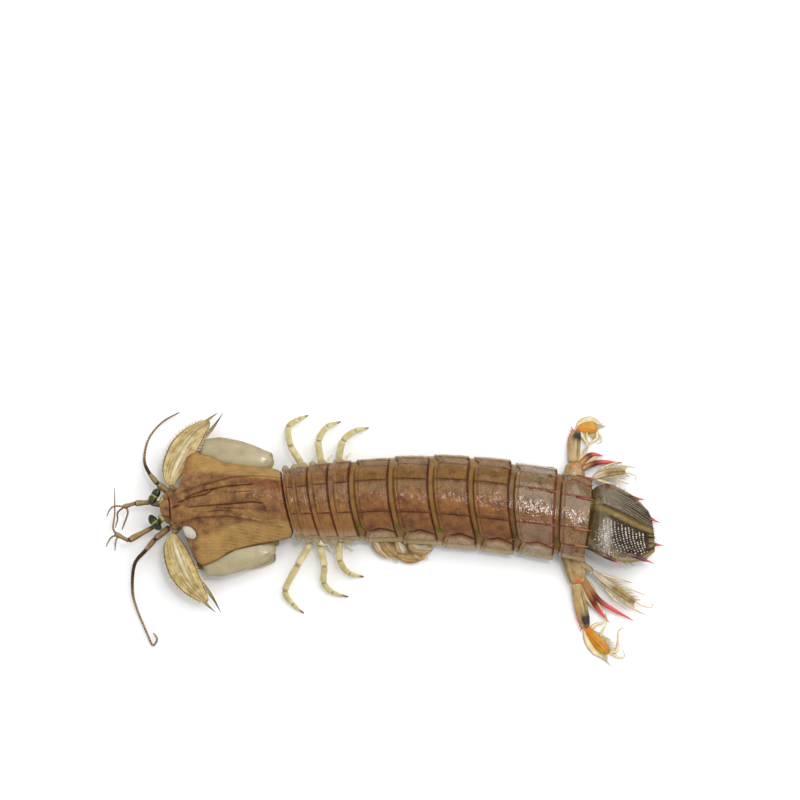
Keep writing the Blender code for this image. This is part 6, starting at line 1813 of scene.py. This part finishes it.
# Leaves that spread past the back: path, half widths, where across its vein lies, and how pale
EXTRA_LEAVES = {"pleopod_1_L": ((((-4.0, 0.6, 3.2), (-2.0, -2.4, 2.2), (0.6, -5.5, 1.4)),
                                 (0.7, 1.7, 1.5, 0.4), 0.4, 0.75),
                                (((-1.2, 0.4, 3.1), (1.0, -2.4, 2.3), (3.4, -5.0, 1.6)),
                                 (1.0, 2.1, 1.8, 0.8), -0.3, 0.1)),
                "pleopod_2_L": ((((3.8, 0.2, 3.2), (4.6, -2.0, 2.5), (5.4, -4.0, 2.0)),
                                 (1.3, 1.9, 1.8, 0.9), 0.0, 0.75),
                                (((3.4, -4.0, 1.6), (7.0, -5.4, 1.3), (11.2, -5.6, 1.2)),
                                 (0.8, 1.6, 1.5, 0.5), 0.3, 0.1),
                                (((7.0, -0.6, 2.9), (10.4, -2.4, 2.3), (14.6, -2.6, 1.8)),
                                 (1.2, 2.2, 2.0, 0.6), -0.2, 0.5))}


GILL_THREADS = 7


def swim_paint(share, s, run):
    return marks_of(share, dark=0.5 * bell(s, 0.0, 0.05) + 0.55 * ramp(np.abs(s), 0.93, 0.99),
                    pale=0.6 * ramp(np.abs(s), 0.55, 0.85), patch=0.6 * bell(share, 0.25, 0.25))


def fold_paint(pallor):
    def paint(share, s, run):
        return marks_of(share, dark=0.7 * bell(s, 0.3, 0.07) + 0.7 * ramp(-s, 0.86, 0.98),
                        pale=pallor * bell(s, 0.0, 0.5), patch=0.8 * ramp(s, 0.55, 0.9))
    return paint


def hanging(foot, tip, middle, start_drop, sag):
    """Path of a swimmeret's leaf, which sinks from its foot to a middle point and flattens out."""
    return [foot + np.array(start_drop), foot + (middle - foot) * 0.6 - UP * sag,
            middle + (tip - middle) * 0.4, tip]


for number, (x0, x1, half, top, edge, belly) in enumerate(ABDOMEN.values(), 1):
    x = x0 + (x1 - x0) * 0.34
    for side, label in SIDES:
        name = f"pleopod_{number}_{label}"
        root = on_body(x, side * 6.4, belly - GAP - 0.35)
        foot = on_body(x + 0.6, side * 7.2, 3.2)
        outer_tip = np.array(SPREAD.get(name, on_body(x + 8.6, side * 9.6, 1.3)))
        inner_tip = on_body(x + 8.4, side * 3.0, 1.1)
        outer_middle = np.array((*((foot + outer_tip) / 2 + np.array((0.6, 0, 0)))[:2], 1.7))
        inner_middle = np.array((*((foot + inner_tip) / 2)[:2], 2.0))
        leaves = ((hanging(foot, outer_tip, outer_middle, (-0.6, 0, -0.5), 0.5), (1.0, 2.7, 2.5, 1.1)),
                  (hanging(foot, inner_tip, inner_middle, (-0.5, 0, -0.2), 0.0), (0.9, 2.1, 2.0, 0.9)))
        parts = [limb(name + "_stem", [root, root + (foot - root) * 0.55, foot], (1.8, 1.75, 1.5, 1.2),
                      columns=24, rows=30, blunt=(0.3, 0.6), paint=evenly(pale=0.5))]
        for n, (path, wide) in enumerate(leaves):
            parts.append(leaf(f"{name}_leaf_{n}", path, wide, 0.7, 40, 50, swim_paint, 0.8, veins=(0.0,),
                              wave=0.06))
            for way in (1, -1):
                parts.append(fringe(f"{name}_hair_{n}{way}", path, wide, 0.3, 1.0, way, 1.5, 7, 0.8,
                                    69 + number, hairs=7, width=0.11, fall=0.2))
        for n, (path, wide, vein, pallor) in enumerate(EXTRA_LEAVES.get(name, ())):
            parts.append(leaf(f"{name}_fold_{n}", path, wide, 0.6, 40, 50, fold_paint(pallor), 0.7,
                              veins=(vein,), vein_height=0.2, wave=0.16))
        for f in range(GILL_THREADS):
            angle = math.radians(-60 + 18 * f)
            begin = root + (foot - root) * (0.25 + 0.1 * f)
            reach = 3.0 + 0.35 * (f % 2)
            aside = side * (0.2 - math.cos(angle) * reach * 0.9)
            stop = begin + np.array((math.sin(angle) * reach, aside, 0.4 - 0.1 * f))
            parts.append(limb(f"{name}_gill_{f}", [begin, (begin + stop) / 2 + UP * 0.15, stop],
                              (0.3, 0.3, 0.26, 0.12), columns=8, rows=20, blunt=(0.2, 0.2),
                              paint=evenly(pale=1.0)))
        for part in parts:
            if not part.data.materials:
                clad(part, swimmeret_leaf)
        dress(joined(name + "_stem", parts), None, "swimmeret", name)
# %% [markdown]
# ## Floor, light and camera
# The animal lies on a plain pale sheet under wide soft lamps, and the camera looks almost straight
# down on it, from a little toward its left side, through a long lens. The lens and distance make
# one pixel of the picture 0.31 mm at the height of the back.

# %% Floor
bpy.ops.object.select_all(action="DESELECT")
bpy.ops.mesh.primitive_plane_add(size=2.4, location=(0, 0, -0.0002))
floor = bpy.context.object
floor.name = "floor"
paper = Recipe("pale_paper")
paper.fixed(Roughness=0.9, Specular_IOR_Level=0.1, Base_Color=(0.93, 0.93, 0.93, 1.0))
clad(floor, paper.material)

# %% Lamps and surroundings
world = bpy.data.worlds.new("studio")
bpy.context.scene.world = world
world.use_nodes = True
sky = world.node_tree.nodes["Background"]
sky.inputs[0].default_value = (0.97, 0.985, 1.0, 1.0)
seen = world.node_tree.nodes.new("ShaderNodeLightPath").outputs["Is Camera Ray"]
strength = world.node_tree.nodes.new("ShaderNodeMapRange")
strength.inputs["To Min"].default_value = 0.16
strength.inputs["To Max"].default_value = 1.0
world.node_tree.links.new(seen, strength.inputs["Value"])
world.node_tree.links.new(strength.outputs[0], sky.inputs[1])


def lamp(name, spot, size, power, target=(0, 0, 0)):
    """A square soft lamp that faces its target; places in metres."""
    bpy.ops.object.select_all(action="DESELECT")
    bpy.ops.object.light_add(type="AREA", location=spot)
    made = bpy.context.object
    made.name = name
    made.data.shape = "SQUARE"
    made.data.size = size
    made.data.energy = power
    made.rotation_euler = (Vector(target) - Vector(spot)).to_track_quat("-Z", "Y").to_euler()


lamp("key_lamp", (0.35, 0.5, 0.7), 0.85, 6.5)
lamp("left_lamp", (-0.6, 0.35, 0.55), 1.0, 3.15)
lamp("front_lamp", (-0.3, -0.65, 0.6), 1.0, 3.35)
lamp("right_lamp", (0.6, -0.3, 0.55), 0.85, 2.3)
lamp("glint_lamp", (0.13, 0.095, 0.70), 0.12, 1.15, target=(0.06, 0.008, 0))

# %% Camera
TILT = math.radians(80)
DISTANCE = 585.6
AIM = np.array((4.34, 42.81, 10.0))
eye = AIM + DISTANCE * np.array((0.0, -math.cos(TILT), math.sin(TILT)))
bpy.ops.object.camera_add(location=(eye + OFFSET) * MM)
camera = bpy.context.object
camera.name = "camera"
camera.data.lens = 85
camera.data.sensor_width = 36
camera.data.clip_start = 0.01
camera.rotation_euler = Vector((AIM - eye)).to_track_quat("-Z", "Y").to_euler()
bpy.context.scene.camera = camera
bpy.context.scene.view_settings.view_transform = "Standard"
print("camera at", [round(c, 4) for c in camera.location])

# %% [markdown]
# ## Last: the count
# The number of dressed pieces and of their faces is printed.

# %% Pieces and faces
print("pieces:", len(dressed), "faces:", sum(len(p.data.polygons) for p in dressed))
